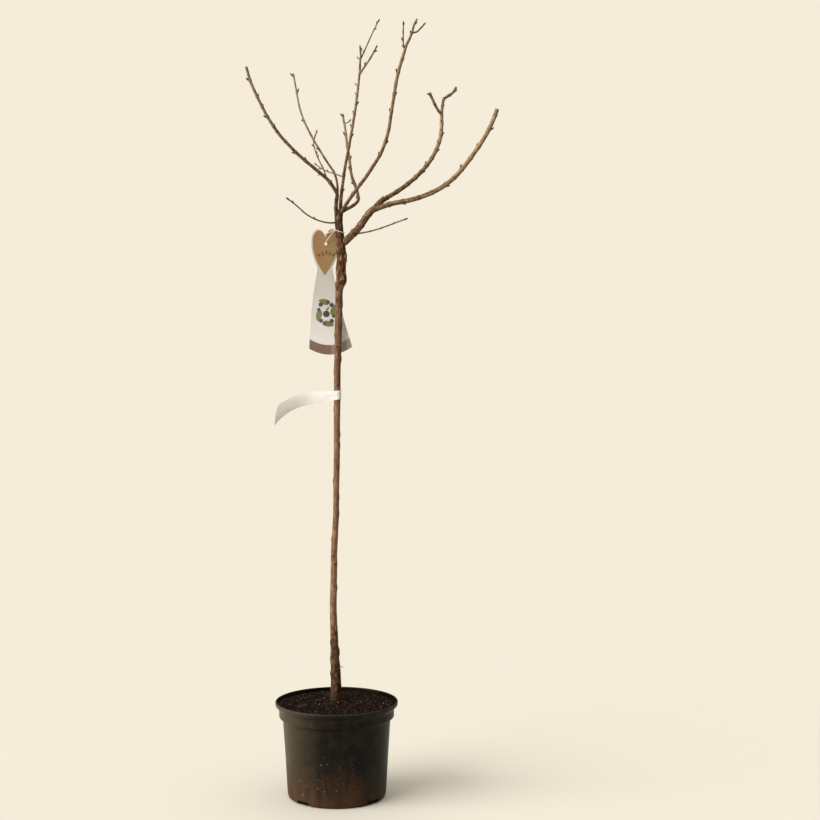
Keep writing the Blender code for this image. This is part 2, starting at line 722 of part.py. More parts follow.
def make_tag_loop(paths, material, collection):
    # Round the stem, through the notch of the heart, through the hole from behind and back to the stem
    rise = LOOP_HEIGHT - SOIL_CROWN - GAP
    sway, stem_radius = stem_at(rise)
    back = STEM_BACK[0] + (STEM_BACK[1] - STEM_BACK[0]) * rise / (STEM_STATIONS[-1][0] * MM)
    radius = stem_radius + GAP + LOOP_GIRTH / 2 + LOOP_ROOM / 2
    arc_start, arc_end, arc_steps = 205, 510, 12
    corners = []
    for index in range(arc_steps + 1):
        angle = math.radians(arc_start + (arc_end - arc_start) * index / arc_steps)
        corners.append(Vector((
            sway + radius * math.cos(angle),
            back + radius * math.sin(angle),
            LOOP_HEIGHT - LOOP_TILT * math.cos(angle))))
    hole = TAG_HOLE
    seat = TAG_HOLE_RADIUS - LOOP_GIRTH / 2 - GAP      # the loop bears on the top of the hole
    notch = Vector((hole.x, hole.y, hole.z + tag_outline()[1] - TAG_HOLE_HEIGHT + LOOP_NOTCH_RISE))
    corners += [
        notch + Vector((3, -7, 1.5)) * MM,
        notch,
        notch + Vector((0, 2.6, -4)) * MM,
        Vector((hole.x, hole.y + 2.6 * MM, hole.z + seat + 4 * MM)),
        Vector((hole.x, hole.y + 1.7 * MM, hole.z + seat + 0.3 * MM)),
        Vector((hole.x, hole.y, hole.z + seat - 0.1 * MM)),
        Vector((hole.x, hole.y - 1.9 * MM, hole.z + seat + 0.3 * MM)),
        Vector((hole.x + 3 * MM, hole.y - 6 * MM, hole.z + 7 * MM)),
    ]
    points = smooth_loop(corners, 2)
    return tube("tag_loop", points, [LOOP_GIRTH / 2] * len(points), 1, material, collection, closed=True)


def make_label(material, collection):
    # An open strip, wrapped round the stem and then drooping, given its thickness by Solidify
    rise = LABEL_HEIGHT - SOIL_CROWN - GAP
    sway, stem_radius = stem_at(rise)
    back = STEM_BACK[0] + (STEM_BACK[1] - STEM_BACK[0]) * rise / (STEM_STATIONS[-1][0] * MM)
    radius = stem_radius + 2 * GAP + LABEL_THICKNESS / 2
    wrap_count = 16
    tail_count = 13
    rows = []
    for index in range(wrap_count + 1):
        # Clockwise from the front left, round the back, to the front
        angle = math.radians(270 + LABEL_WRAP * (1 - index / wrap_count))
        height = LABEL_HEIGHT + LABEL_TILT * math.cos(angle)
        centre = Vector((sway + radius * math.cos(angle), back + radius * math.sin(angle), height))
        rows.append([centre + Vector((0, 0, side * LABEL_WIDTH[0] / 2 * MM)) for side in (-1, 0, 1)])
    for index in range(1, tail_count + 1):
        row = []
        for side in (-1, 0, 1):
            share = index / tail_count
            share *= 1 - LABEL_SLANT * (side + 1) / 2 * share ** 3
            drop = LABEL_SAG * share + LABEL_CURL * share ** LABEL_CURL_POWER
            slope = LABEL_SAG + LABEL_CURL * LABEL_CURL_POWER * share ** (LABEL_CURL_POWER - 1)
            tilt = math.atan(slope / LABEL_TAIL)
            centre = Vector((
                sway - LABEL_TAIL * share,
                back - radius - LABEL_SWING * share * share,
                LABEL_HEIGHT - drop))
            across = Vector((-math.sin(tilt), 0, math.cos(tilt)))
            row.append(centre + across * side * spread(LABEL_WIDTH, share) / 2 * MM)
        rows.append(row)
    bm = bmesh.new()
    grid = [[bm.verts.new(point) for point in row] for row in rows]
    for low, high in zip(grid, grid[1:]):
        for column in range(2):
            bm.faces.new((low[column], high[column], high[column + 1], low[column + 1]))
    mesh = bpy.data.meshes.new("stem_label")
    bm.to_mesh(mesh)
    bm.free()
    label = new_object("stem_label", mesh, material, collection)
    solidify = label.modifiers.new("thickness", "SOLIDIFY")
    solidify.thickness = LABEL_THICKNESS
    solidify.offset = 0.0
    return label


def shade_round(obj):
    obj.data.shade_smooth()
    obj.data.set_sharp_from_angle(angle=math.radians(40))


def main():
    for obj in list(bpy.data.objects):
        bpy.data.objects.remove(obj)
    parts = new_collection("potted_jostaberry")
    cutters = new_collection("cutters")
    luck = random.Random(SEED)

    pot_plastic = finish_material("black_pot_plastic", (0.028, 0.026, 0.022), 0.55)
    compost = finish_material("compost", (0.025, 0.016, 0.010), 0.95)
    stem_bark = finish_material("stem_bark", (0.20, 0.125, 0.08), 0.8)
    bough_bark = finish_material("bough_bark", (0.22, 0.13, 0.08), 0.7)
    twig_bark = finish_material("twig_bark", (0.20, 0.14, 0.085), 0.7)
    card = finish_material("tag_card", (0.60, 0.55, 0.48), 0.5)
    elastic = finish_material("elastic", (0.75, 0.72, 0.68), 0.6)
    label_film = finish_material("label_film", (0.80, 0.77, 0.70), 0.4)

    make_pot(pot_plastic, parts, cutters)
    make_soil(compost, parts)
    paths = lay_out_limbs()
    standing_on = set()
    for limb in (BOUGHS | TWIG_MASSES).values():
        standing_on.update(limb.get("cut_by", []))
    for name in paths:
        if name in standing_on:
            grown_cutter(name, paths[name], 3 if name == "trunk" else 2, cutters)
            for stub in stub_paths(name, paths[name]):
                grown_cutter(f"{name}_stub", stub, 1, cutters)
    limbs = [make_trunk(paths, stem_bark, parts, luck)]
    for name, bough in BOUGHS.items():
        limbs.append(make_bough(name, bough, paths, bough_bark, parts, cutters, luck))
    for name, mass in TWIG_MASSES.items():
        limbs.append(make_twig_mass(name, mass, paths, twig_bark, parts, cutters, luck))
    for limb in limbs:
        shade_round(limb)
    make_tag(card, parts)
    make_tag_loop(paths, elastic, parts)
    make_label(label_film, parts)


main()
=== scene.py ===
# Potted jostaberry grown as a half standard, bare in winter
# metres, Z up, X to the right, Y to the back, origin under the middle of the pot
import math
import random

import bmesh
import bpy
import numpy as np
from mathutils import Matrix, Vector, noise


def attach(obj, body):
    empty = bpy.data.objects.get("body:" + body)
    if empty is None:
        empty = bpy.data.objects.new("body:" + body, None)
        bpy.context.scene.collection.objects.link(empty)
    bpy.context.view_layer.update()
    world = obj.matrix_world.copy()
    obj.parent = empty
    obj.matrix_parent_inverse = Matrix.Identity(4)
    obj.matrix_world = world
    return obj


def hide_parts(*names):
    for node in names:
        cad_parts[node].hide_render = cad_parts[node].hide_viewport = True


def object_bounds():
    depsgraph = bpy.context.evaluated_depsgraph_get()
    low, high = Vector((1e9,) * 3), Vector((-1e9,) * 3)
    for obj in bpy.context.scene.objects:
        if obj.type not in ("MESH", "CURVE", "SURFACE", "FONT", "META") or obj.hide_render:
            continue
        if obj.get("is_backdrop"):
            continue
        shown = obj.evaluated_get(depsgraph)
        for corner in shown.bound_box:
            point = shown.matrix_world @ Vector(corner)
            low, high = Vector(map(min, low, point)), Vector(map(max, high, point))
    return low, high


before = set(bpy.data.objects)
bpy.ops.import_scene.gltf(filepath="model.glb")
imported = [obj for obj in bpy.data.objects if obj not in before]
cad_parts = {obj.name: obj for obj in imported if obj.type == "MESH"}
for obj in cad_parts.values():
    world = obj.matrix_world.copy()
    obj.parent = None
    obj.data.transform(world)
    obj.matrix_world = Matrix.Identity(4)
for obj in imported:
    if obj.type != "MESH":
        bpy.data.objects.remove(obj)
cadLow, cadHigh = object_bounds()
mm = 0.001
bpy.context.scene.view_settings.view_transform = "Standard"


# Small helpers

def linear(code):
    # an sRGB hex colour as Blender's linear one
    parts = [int(code[i:i + 2], 16) / 255 for i in (1, 3, 5)]
    return [c / 12.92 if c <= 0.04045 else ((c + 0.055) / 1.055) ** 2.4 for c in parts] + [1.0]


def addNode(tree, kind, settings=None, links=None):
    # a node with its settings and links: lower case names are its own, the others its sockets;
    # colours are hex codes, and a node among the links gives its first output
    node = tree.nodes.new(kind)
    for key, value in (settings or {}).items():
        if key == "stops":
            elements = node.color_ramp.elements
            while len(elements) < len(value):
                elements.new(0.5)
            for element, (place, code) in zip(elements, value):
                element.position = place
                element.color = linear(code)
        elif isinstance(key, str) and key[0].islower():
            setattr(node, key, value)
        else:
            isColour = isinstance(value, str) and value.startswith("#")
            node.inputs[key].default_value = linear(value) if isColour else value
    for key, source in (links or {}).items():
        tree.links.new(getattr(source, "outputs", [source])[0], node.inputs[key])
    return node


def newMaterial(name, roughness, **sockets):
    # a Principled material; sockets are uniform over the surface
    material = bpy.data.materials.new(name)
    material.use_nodes = True
    tree = material.node_tree
    shader = tree.nodes["Principled BSDF"]
    shader.inputs["Roughness"].default_value = roughness
    for key, value in sockets.items():
        shader.inputs[key.replace("_", " ")].default_value = value
    return material, tree, shader


def endMaterial(tree, shader, colour, relief, depth, strength):
    # every material ends alike: its colour, and a relief of a depth in metres
    bump = addNode(tree, "ShaderNodeBump", {"Strength": strength, "Distance": depth}, {"Height": relief})
    for source, socket in ((colour, "Base Color"), (bump, "Normal")):
        tree.links.new(getattr(source, "outputs", [source])[0], shader.inputs[socket])


def newTree(name, sockets):
    # a geometry node tree with named inputs; returns it with its in and out nodes
    tree = bpy.data.node_groups.new(name, "GeometryNodeTree")
    tree.interface.new_socket("Geometry", in_out="INPUT", socket_type="NodeSocketGeometry")
    tree.interface.new_socket("Geometry", in_out="OUTPUT", socket_type="NodeSocketGeometry")
    for label, kind in sockets.items():
        tree.interface.new_socket(label, in_out="INPUT", socket_type="NodeSocket" + kind)
    return tree, tree.nodes.new("NodeGroupInput").outputs, tree.nodes.new("NodeGroupOutput").inputs


def bakedMesh(obj):
    # the object's shape with its modifiers applied, as a plain mesh
    bpy.context.view_layer.update()
    return bpy.data.meshes.new_from_object(obj.evaluated_get(bpy.context.evaluated_depsgraph_get()))


def runTree(obj, tree, values):
    # gives the object the tree's result as its own plain mesh
    modifier = obj.modifiers.new(tree.name, "NODES")
    modifier.node_group = tree
    for socket in tree.interface.items_tree:
        if socket.in_out == "INPUT" and socket.name in values:
            modifier[socket.identifier] = values[socket.name]
    mesh = bakedMesh(obj)
    obj.modifiers.remove(modifier)
    obj.data = mesh
    mesh.name = obj.name


def endTree(tree, geometry, material, out, smooth=True):
    # every tree ends alike: instances made real, their shading, the material
    real = addNode(tree, "GeometryNodeRealizeInstances", None, {"Geometry": geometry})
    shaded = addNode(tree, "GeometryNodeSetShadeSmooth", {"Shade Smooth": smooth}, {"Geometry": real})
    last = addNode(tree, "GeometryNodeSetMaterial", None, {"Geometry": shaded, "Material": material})
    tree.links.new(last.outputs[0], out[0])


def meshObject(name, vertices, faces, edges=(), material=None):
    mesh = bpy.data.meshes.new(name)
    mesh.from_pydata([tuple(v) for v in vertices], list(edges), list(faces))
    if material:
        mesh.materials.append(material)
    obj = bpy.data.objects.new(name, mesh)
    bpy.context.scene.collection.objects.link(obj)
    return obj


def setAttribute(obj, name, values, kind="FLOAT"):
    attribute = obj.data.attributes.new(name, kind, "POINT")
    field = "vector" if kind == "FLOAT_VECTOR" else "value"
    attribute.data.foreach_set(field, np.asarray(values, np.float32).ravel())


def tidyNormals(obj):
    # doubles merged, then the faces turned outwards
    bm = bmesh.new()
    bm.from_mesh(obj.data)
    bmesh.ops.remove_doubles(bm, verts=bm.verts, dist=0.002 * mm)
    bmesh.ops.recalc_face_normals(bm, faces=bm.faces)
    bm.to_mesh(obj.data)
    bm.free()
    obj.data.shade_smooth()


def finishPiece(obj, slot, *nodes):
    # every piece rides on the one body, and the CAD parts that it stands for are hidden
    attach(obj, "root")
    if nodes:
        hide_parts(*nodes)
    print(f"{obj.name}: {len(obj.data.polygons)} faces")


def eased(low, high, value):
    # 0 below low, 1 above high, smooth between
    share = np.clip((value - low) / (high - low), 0, 1)
    return share * share * (3 - 2 * share)


def smoothAt(before, start, end, after, t):
    # a smooth curve between start and end that passes through its neighbours too
    return 0.5 * (2 * start + (end - before) * t
                  + (2 * before - 5 * start + 4 * end - after) * t * t
                  + (3 * start - before - 3 * end + after) * t ** 3)


def curveMesh(curve):
    # a curve's shape as a plain mesh
    holder = bpy.data.objects.new(curve.name + "Curve", curve)
    bpy.context.scene.collection.objects.link(holder)
    mesh = bakedMesh(holder)
    bpy.data.objects.remove(holder)
    return mesh


# Camera, light and floor

studio = {
    "lens": 85.52,                       # with a 36 mm sensor
    "cameraAt": (0.1305, -3.409, 0.984),
    "cameraPitch": 4.9,                  # degrees down
    "backdrop": "#f5ecd9",
    "room": "#fff2e0",                   # what the room sends back, at the horizon and what is added overhead
    "roomStrength": (0.07, 1.05),
    "keyColour": "#fff6ea",
    "keyStrength": 4.3,
    "keyFrom": (-0.82, -0.48, 0.36),
    "keyAngle": 60,                      # degrees across, as a large soft window
    "floorRadius": 1.15,
}


def makeStudio():
    world = bpy.data.worlds.new("paleRoom")
    bpy.context.scene.world = world
    world.use_nodes = True
    tree = world.node_tree
    tree.nodes.clear()
    low, added = studio["roomStrength"]
    heading = addNode(tree, "ShaderNodeTexCoord").outputs["Generated"]
    height = addNode(tree, "ShaderNodeSeparateXYZ", None, {0: heading}).outputs["Z"]
    strength = addNode(tree, "ShaderNodeMapRange", {"To Min": low, "To Max": low + added}, {"Value": height})
    room = addNode(tree, "ShaderNodeBackground", {"Color": studio["room"]}, {"Strength": strength})
    seen = addNode(tree, "ShaderNodeBackground", {"Color": studio["backdrop"], "Strength": 1.0})
    path = addNode(tree, "ShaderNodeLightPath")
    both = addNode(tree, "ShaderNodeMixShader", None, {0: path.outputs["Is Camera Ray"], 1: room, 2: seen})
    addNode(tree, "ShaderNodeOutputWorld", None, {"Surface": both})
    toKey = Vector(studio["keyFrom"]).normalized()
    light = bpy.data.lights.new("key", "SUN")
    light.energy = studio["keyStrength"]
    light.angle = math.radians(studio["keyAngle"])
    light.color = linear(studio["keyColour"])[:3]
    key = bpy.data.objects.new("key", light)
    key.location = toKey * 3
    key.rotation_euler = toKey.to_track_quat("Z", "Y").to_euler()
    bpy.context.scene.collection.objects.link(key)
    # the floor's paint meets the backdrop where both are evenly lit
    paint = []
    for wall, air, sun in zip(*(linear(studio[key]) for key in ("backdrop", "room", "keyColour"))):
        light = air * (low + added * 2 / 3) + sun * studio["keyStrength"] * toKey.z / math.pi
        paint.append(wall / light)
    material, tree, shader = newMaterial("paintedFloor", 1.0, Specular_IOR_Level=0.0)
    shader.inputs["Base Color"].default_value = paint[:3] + [1.0]
    radius, count = studio["floorRadius"], 96
    rim = [(radius * math.cos(2 * math.pi * i / count), radius * math.sin(2 * math.pi * i / count), 0)
           for i in range(count)]
    meshObject("floor", rim, [tuple(range(count))], material=material)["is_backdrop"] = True
    lens = bpy.data.cameras.new("camera")
    lens.lens = studio["lens"]
    camera = bpy.data.objects.new("camera", lens)
    camera.location = studio["cameraAt"]
    camera.rotation_euler = (math.radians(90 - studio["cameraPitch"]), 0, 0)
    bpy.context.scene.collection.objects.link(camera)
    bpy.context.scene.camera = camera
    print("studio: camera, soft window light and the floor")


# Pot: thin moulded wall with a rolled lip, a collar and a tapered body

pot = {
    "height": 173 * mm,
    "lip": 109 * mm,                 # radius over the lip
    "lipDepth": 6.5 * mm,
    "lipWidth": 3 * mm,
    "collar": 102.2 * mm,
    "collarFoot": 145 * mm,
    "neck": 95.7 * mm,
    "foot": 87.8 * mm,
    "base": 82 * mm,
    "footHeight": 8 * mm,
    "wall": 1.6 * mm,
    "floor": 2 * mm,
    "sides": 168,
    "notches": 4,
    "notchTurn": 49,
    "notchWidth": 28 * mm,
    "notchHeight": 9 * mm,
    "notchRound": 3.2 * mm,
    "notchStart": 66 * mm,
    "wobble": 0.35 * mm,             # how far the thin wall is out of round
    "plastic": ("#090806", "#120f0a"),
    # patterns: features per metre, how far drawn out upright, detail and roughness
    "patterns": {
        "cloud": (22, 1, 4, 0.55), "runs": (30, 0.22, 5, 0.62), "speckle": (520, 1, 3, 0.7),
        "bloom": (60, 1, 6, 0.55), "scuff": (330, 0.03, 2, 0.55), "grain": (900, 1, 2, 0.55)},
    # fades: what each follows, between which values (metres for up and across), and its strength at both
    "fades": {
        "drying": ("up", 0.0, 0.115, 1.0, 0.0),
        # more dust on the lit left than on the shaded right: partly real dust, partly painted light
        "shadeSide": ("across", -0.05, 0.07, 1.0, 0.6),
        "speckled": ("speckle", 0.36, 0.6, 0.45, 1.1),
        # painted sheen: lighter towards the lit left edge, and higher up
        "sheenSide": ("across", -0.015, -0.098, 0.0, 1.0),
        "sunHeight": ("up", 0.015, 0.09, 0.3, 0.92),
        "bloomed": ("bloom", 0.45, 0.8, 0.0, 0.06),
        "spot": ("spots", 0.09, 0.2, 0.85, 0.0),
        "few": ("chance", 0.84, 0.88, 0.0, 1.0),
        "lowDown": ("up", 0.07, 0.1, 1.0, 0.0),
        "leftward": ("across", -0.01, 0.05, 1.0, 0.25),
        "scratched": ("scuff", 0.7, 0.78, 0.0, 0.5),
        "overFoot": ("up", 0.142, 0.147, 0.0, 1.0),
        "underLip": ("up", 0.161, 0.157, 0.0, 1.0),
        # painted highlight on the lip's top edge
        "rubbed": ("up", 0.169, 0.1725, 0.0, 0.3),
        "within": ("outward", 0.0, -0.04, 0.0, 0.8),
    },
    # layers of colour, the first one lowest: shade, and the fades that are multiplied for it
    "layers": {
        # painted sheen over the lit left side, standing in for the light's soft highlight
        "paintedSheen": ("#4b4234", "sunny", "sunHeight"),
        "dust": ("#64462d", "runs", "drying", "shadeSide", "speckled"),     # dried compost water, thicker on the lit left side: partly real dust, partly painted light
        "bloom": ("#86684a", "bloomed"),
        "splashes": ("#a39a8a", "spot", "few", "lowDown", "leftward"),      # dried white
        "scuffs": ("#5a5247", "scratched", "overFoot", "underLip"),         # where pots were stacked
        "lip": ("#4a4640", "rubbed"),                                       # painted highlight along the lip's top edge
        "innerWallDarker": ("#080503", "within"),                                     # darker on the inner wall
    },
}


def smoothProfile(corners, radius, steps=4):
    # a turned profile with each inner corner rounded by a small arc
    out = [corners[0]]
    for before, corner, after in zip(corners, corners[1:], corners[2:]):
        a, b, c = (np.array(p, float) for p in (before, corner, after))
        reach = min(radius, 0.4 * np.linalg.norm(a - b), 0.4 * np.linalg.norm(c - b))
        start = b + (a - b) / np.linalg.norm(a - b) * reach
        end = b + (c - b) / np.linalg.norm(c - b) * reach
        for step in range(steps + 1):
            t = step / steps
            out.append(tuple((1 - t) ** 2 * start + 2 * t * (1 - t) * b + t * t * end))
    out.append(corners[-1])
    return out


def fineProfile(profile, longest):
    # long runs are cut up, so that the wall can be shaped
    out = [profile[0]]
    for a, b in zip(profile, profile[1:]):
        count = max(1, math.ceil(math.dist(a, b) / longest))
        out += [tuple(np.array(a) + (np.array(b) - np.array(a)) * (i + 1) / count) for i in range(count)]
    return out


def turned(name, profile, sides, shape=None):
    # the profile goes from a point on the axis to another, round the upright axis
    vertices = [(0, 0, profile[0][1])]
    rings = profile[1:-1]
    for radius, height in rings:
        for side in range(sides):
            angle = 2 * math.pi * side / sides
            r, z = (radius, height) if shape is None else shape(radius, height, angle)
            vertices.append((r * math.cos(angle), r * math.sin(angle), z))
    vertices.append((0, 0, profile[-1][1]))
    last = len(vertices) - 1
    faces = []
    for side in range(sides):
        nextSide = (side + 1) % sides
        faces.append((0, 1 + nextSide, 1 + side))
        for ring in range(len(rings) - 1):
            low, high = 1 + ring * sides, 1 + (ring + 1) * sides
            faces.append((low + side, low + nextSide, high + nextSide, high + side))
        top = 1 + (len(rings) - 1) * sides
        faces.append((last, top + side, top + nextSide))
    obj = meshObject(name, vertices, faces)
    tidyNormals(obj)
    return obj


def potInside(inset):
    # the inner wall from the collar down to the floor, drawn in by an inset
    wall = pot["wall"] + inset
    return [
        (pot["collar"] - wall, pot["height"] - 14 * mm),
        (pot["collar"] - wall, pot["collarFoot"] + 1.5 * mm + inset),
        (pot["neck"] - wall, pot["collarFoot"] - 4 * mm + inset),
        (pot["foot"] - wall, pot["footHeight"]),
        (pot["foot"] - wall - 2 * mm, pot["floor"] + inset),
    ]


def mouldedPlastic():
    # thin black polypropylene, injection moulded: satin, with a painted sheen on its lit left side, and dusty
    # at the foot
    material, tree, shader = newMaterial("mouldedPolypropylene", 0.44, IOR=1.49, Specular_IOR_Level=0.12)
    place = addNode(tree, "ShaderNodeTexCoord").outputs["Object"]
    axes = addNode(tree, "ShaderNodeSeparateXYZ", None, {0: place}).outputs
    reads = {"up": axes["Z"], "across": axes["X"]}
    for key, (scale, upright, detail, roughness) in pot["patterns"].items():
        drawn = addNode(tree, "ShaderNodeMapping", {"Scale": (1, 1, upright)}, {"Vector": place})
        settings = {"Scale": scale, "Detail": detail, "Roughness": roughness}
        reads[key] = addNode(tree, "ShaderNodeTexNoise", settings, {"Vector": drawn})
    # splashes lie in the cells of a pattern, a few millimetres apart
    blur = addNode(tree, "ShaderNodeTexNoise", {"Scale": 350.0}, {"Vector": place}).outputs["Color"]
    warp = addNode(tree, "ShaderNodeVectorMath", {"operation": "MULTIPLY_ADD", 1: (0.004,) * 3},
                   {0: blur, 2: place})
    reads["spots"] = addNode(tree, "ShaderNodeTexVoronoi", {"Scale": 185.0}, {"Vector": warp})
    reads["chance"] = addNode(tree, "ShaderNodeSeparateColor", None, {0: reads["spots"].outputs["Color"]})
    # the inner wall is where the face looks to the pot's axis
    flat = addNode(tree, "ShaderNodeVectorMath", {"operation": "MULTIPLY", 1: (1, 1, 0)}, {0: place})
    normal = addNode(tree, "ShaderNodeNewGeometry").outputs["Normal"]
    reads["outward"] = addNode(tree, "ShaderNodeVectorMath", {"operation": "DOT_PRODUCT"},
                               {0: flat, 1: normal}).outputs["Value"]
    for key, (source, low, high, first, last) in pot["fades"].items():
        settings = {"From Min": low, "From Max": high, "To Min": first, "To Max": last}
        reads[key] = addNode(tree, "ShaderNodeMapRange", settings, {"Value": reads[source]})
    # the painted sheen gathers towards the lit left edge
    reads["sunny"] = addNode(tree, "ShaderNodeMath", {"operation": "POWER", 1: 1.7}, {0: reads["sheenSide"]})
    dark, light = pot["plastic"]
    colour = addNode(tree, "ShaderNodeValToRGB", {"stops": [(0.3, dark), (0.75, light)]},
                     {"Fac": reads["cloud"]})
    for name, (shade, *parts) in pot["layers"].items():
        # each layer lies over the ones before, as strong as its parts multiplied
        amount = reads[parts[0]]
        for part in parts[1:]:
            amount = addNode(tree, "ShaderNodeMath", {"operation": "MULTIPLY"}, {0: amount, 1: reads[part]})
        if name == "dust":
            settings = {"From Min": 0.13, "From Max": 0.5, "To Max": 0.62}
            amount = dust = addNode(tree, "ShaderNodeMapRange", settings, {"Value": amount})
        colour = addNode(tree, "ShaderNodeMix", {"data_type": "RGBA", 7: shade},
                         {0: amount, 6: colour}).outputs[2]
    settings = {"From Max": 0.8, "To Min": 0.42, "To Max": 0.85}
    matt = addNode(tree, "ShaderNodeMapRange", settings, {"Value": dust})
    tree.links.new(matt.outputs[0], shader.inputs["Roughness"])
    endMaterial(tree, shader, colour, reads["grain"], 0.12 * mm, 0.35)
    return material


def makePot():
    lipInside = pot["lip"] - pot["lipWidth"]
    top, foot = pot["height"], pot["collarFoot"]
    lipFoot = top - pot["lipDepth"]
    outside = [
        (pot["lip"] - 0.9 * mm, top), (pot["lip"], top - 1.2 * mm), (pot["lip"] - 0.3 * mm, lipFoot),
        (pot["lip"] - 2 * mm, lipFoot - 2 * mm), (pot["collar"] + 1.2 * mm, lipFoot - 5 * mm),
        (pot["collar"], lipFoot - 9 * mm), (pot["collar"], foot + 1 * mm),
        (pot["collar"] - 1.5 * mm, foot - 0.5 * mm), (pot["neck"], foot - 4 * mm),
        (pot["foot"], pot["footHeight"]), (pot["foot"] - 1.5 * mm, pot["footHeight"] * 0.4),
        (pot["base"], 0.0), (pot["base"] - 6 * mm, 0.0), (pot["base"] - 7 * mm, 0.4 * mm), (0.0, 0.4 * mm),
    ]
    inside = [(0.0, pot["floor"])] + potInside(0.0)[::-1]
    lip = [(lipInside, lipFoot - 1 * mm), (lipInside, top - 1.2 * mm), (lipInside + 0.9 * mm, top)]
    profile = fineProfile(smoothProfile(inside + lip + outside, 1.1 * mm), 9 * mm)

    def thinWall(radius, height, angle):
        # the wall gives a little between its stiff foot and its lip
        give = pot["wobble"] * math.sin(math.pi * min(1, height / top) * 0.92)
        wave = math.sin(2 * angle + 0.6) * 0.6 + math.sin(3 * angle + 2.0) * 0.4
        dent = noise.noise(Vector((math.cos(angle) * 2.2, math.sin(angle) * 2.2, height * 18)))
        return radius + give * (wave + dent - 0.9) * (radius > 60 * mm), height

    shell = turned("potShell", profile, pot["sides"], thinWall)
    for index in range(pot["notches"]):
        angle = math.radians(pot["notchTurn"] + index * 360 / pot["notches"])
        length = pot["foot"] + 10 * mm - pot["notchStart"]
        reach = pot["notchStart"] + length / 2
        middle = (reach * math.cos(angle), reach * math.sin(angle), 0)
        bpy.ops.mesh.primitive_cube_add(size=1, location=middle, rotation=(0, 0, angle))
        cutter = bpy.context.active_object
        cutter.scale = (length, pot["notchWidth"], 2 * pot["notchHeight"])
        bpy.ops.object.transform_apply(location=False, rotation=False, scale=True)
        rounding = cutter.modifiers.new("round", "BEVEL")
        rounding.width = pot["notchRound"]
        rounding.segments = 4
        cut = shell.modifiers.new("notch", "BOOLEAN")
        cut.operation = "DIFFERENCE"
        cut.object = cutter
        mesh = bakedMesh(shell)
        shell.modifiers.clear()
        shell.data = mesh
        bpy.data.objects.remove(cutter)
    shell.data.materials.clear()
    shell.data.materials.append(mouldedPlastic())
    shell.data.shade_smooth()
    shell.data.set_sharp_from_angle(angle=math.radians(38))
    finishPiece(shell, "pot_plastic", "pot")


# Compost: a moist bed with crumbs, chips, fibres and white grains on it

compost = {
    "edge": 162 * mm,
    "crown": 168 * mm,
    "flat": 46 * mm,
    "sides": 200,
    "relief": 3.2 * mm,         # height of its lumps
    "lumps": 95,                # lumps per metre, roughly
    "heap": (1.4 * mm, 17 * mm),    # height and reach round the stem
    "bank": 6.5 * mm,           # pushed up against the wall, on the side at this turn
    "bankTurn": 76,
    "shades": ("#080402", "#1a0f08"),
    "litter": {
        # count per square metre, smallest and largest in mm, how far each may tilt, and its shades
        "peatCrumbs": dict(density=200000, size=(0.8, 3.8), tilt=180, shades=("#080403", "#22140c")),
        "barkChips": dict(density=21000, size=(1.8, 8.5), tilt=45, shades=("#160c07", "#4a3527")),
        "rootFibres": dict(density=26000, size=(2.5, 13), tilt=32, shades=("#1a110b", "#705d4b")),
        "sandGrains": dict(density=30000, size=(0.4, 1.3), tilt=180, shades=("#2e241b", "#97887a")),
        "perliteGrains": dict(density=600, size=(1.2, 3.4), tilt=180, shades=("#b8ae9f", "#efe9dc")),
        "mossTufts": dict(density=2200, size=(1.2, 3.0), tilt=180, shades=("#24240f", "#4c4a25")),
    },
    "edgeRoom": 4.5 * mm,       # litter keeps this far from the wall
    "stemRoom": 10 * mm,
    "seed": 17,
}


def moistCompost(name, shades, sheen):
    # peat and bark held damp: near black, with a weak wet glint
    material, tree, shader = newMaterial(name, 0.9 - sheen, IOR=1.4, Specular_IOR_Level=0.16)
    place = addNode(tree, "ShaderNodeTexCoord").outputs["Object"]
    tone = addNode(tree, "ShaderNodeAttribute", {"attribute_name": "tone"}).outputs["Fac"]
    cloud = addNode(tree, "ShaderNodeTexNoise", {"Scale": 420, "Detail": 4, "Roughness": 0.55},
                    {"Vector": place})
    fleck = addNode(tree, "ShaderNodeMapRange", {"From Min": 0.3, "From Max": 0.75}, {"Value": cloud})
    share = addNode(tree, "ShaderNodeMix", {"data_type": "RGBA", 0: 0.55}, {6: fleck, 7: tone}).outputs[2]
    stops = [(0.1, shades[0]), (0.95, shades[1])]
    colour = addNode(tree, "ShaderNodeValToRGB", {"stops": stops}, {"Fac": share})
    crumbs = addNode(tree, "ShaderNodeTexNoise", {"Scale": 700, "Detail": 5, "Roughness": 0.7},
                     {"Vector": place})
    endMaterial(tree, shader, colour, crumbs, 0.9 * mm, 0.9)
    return material


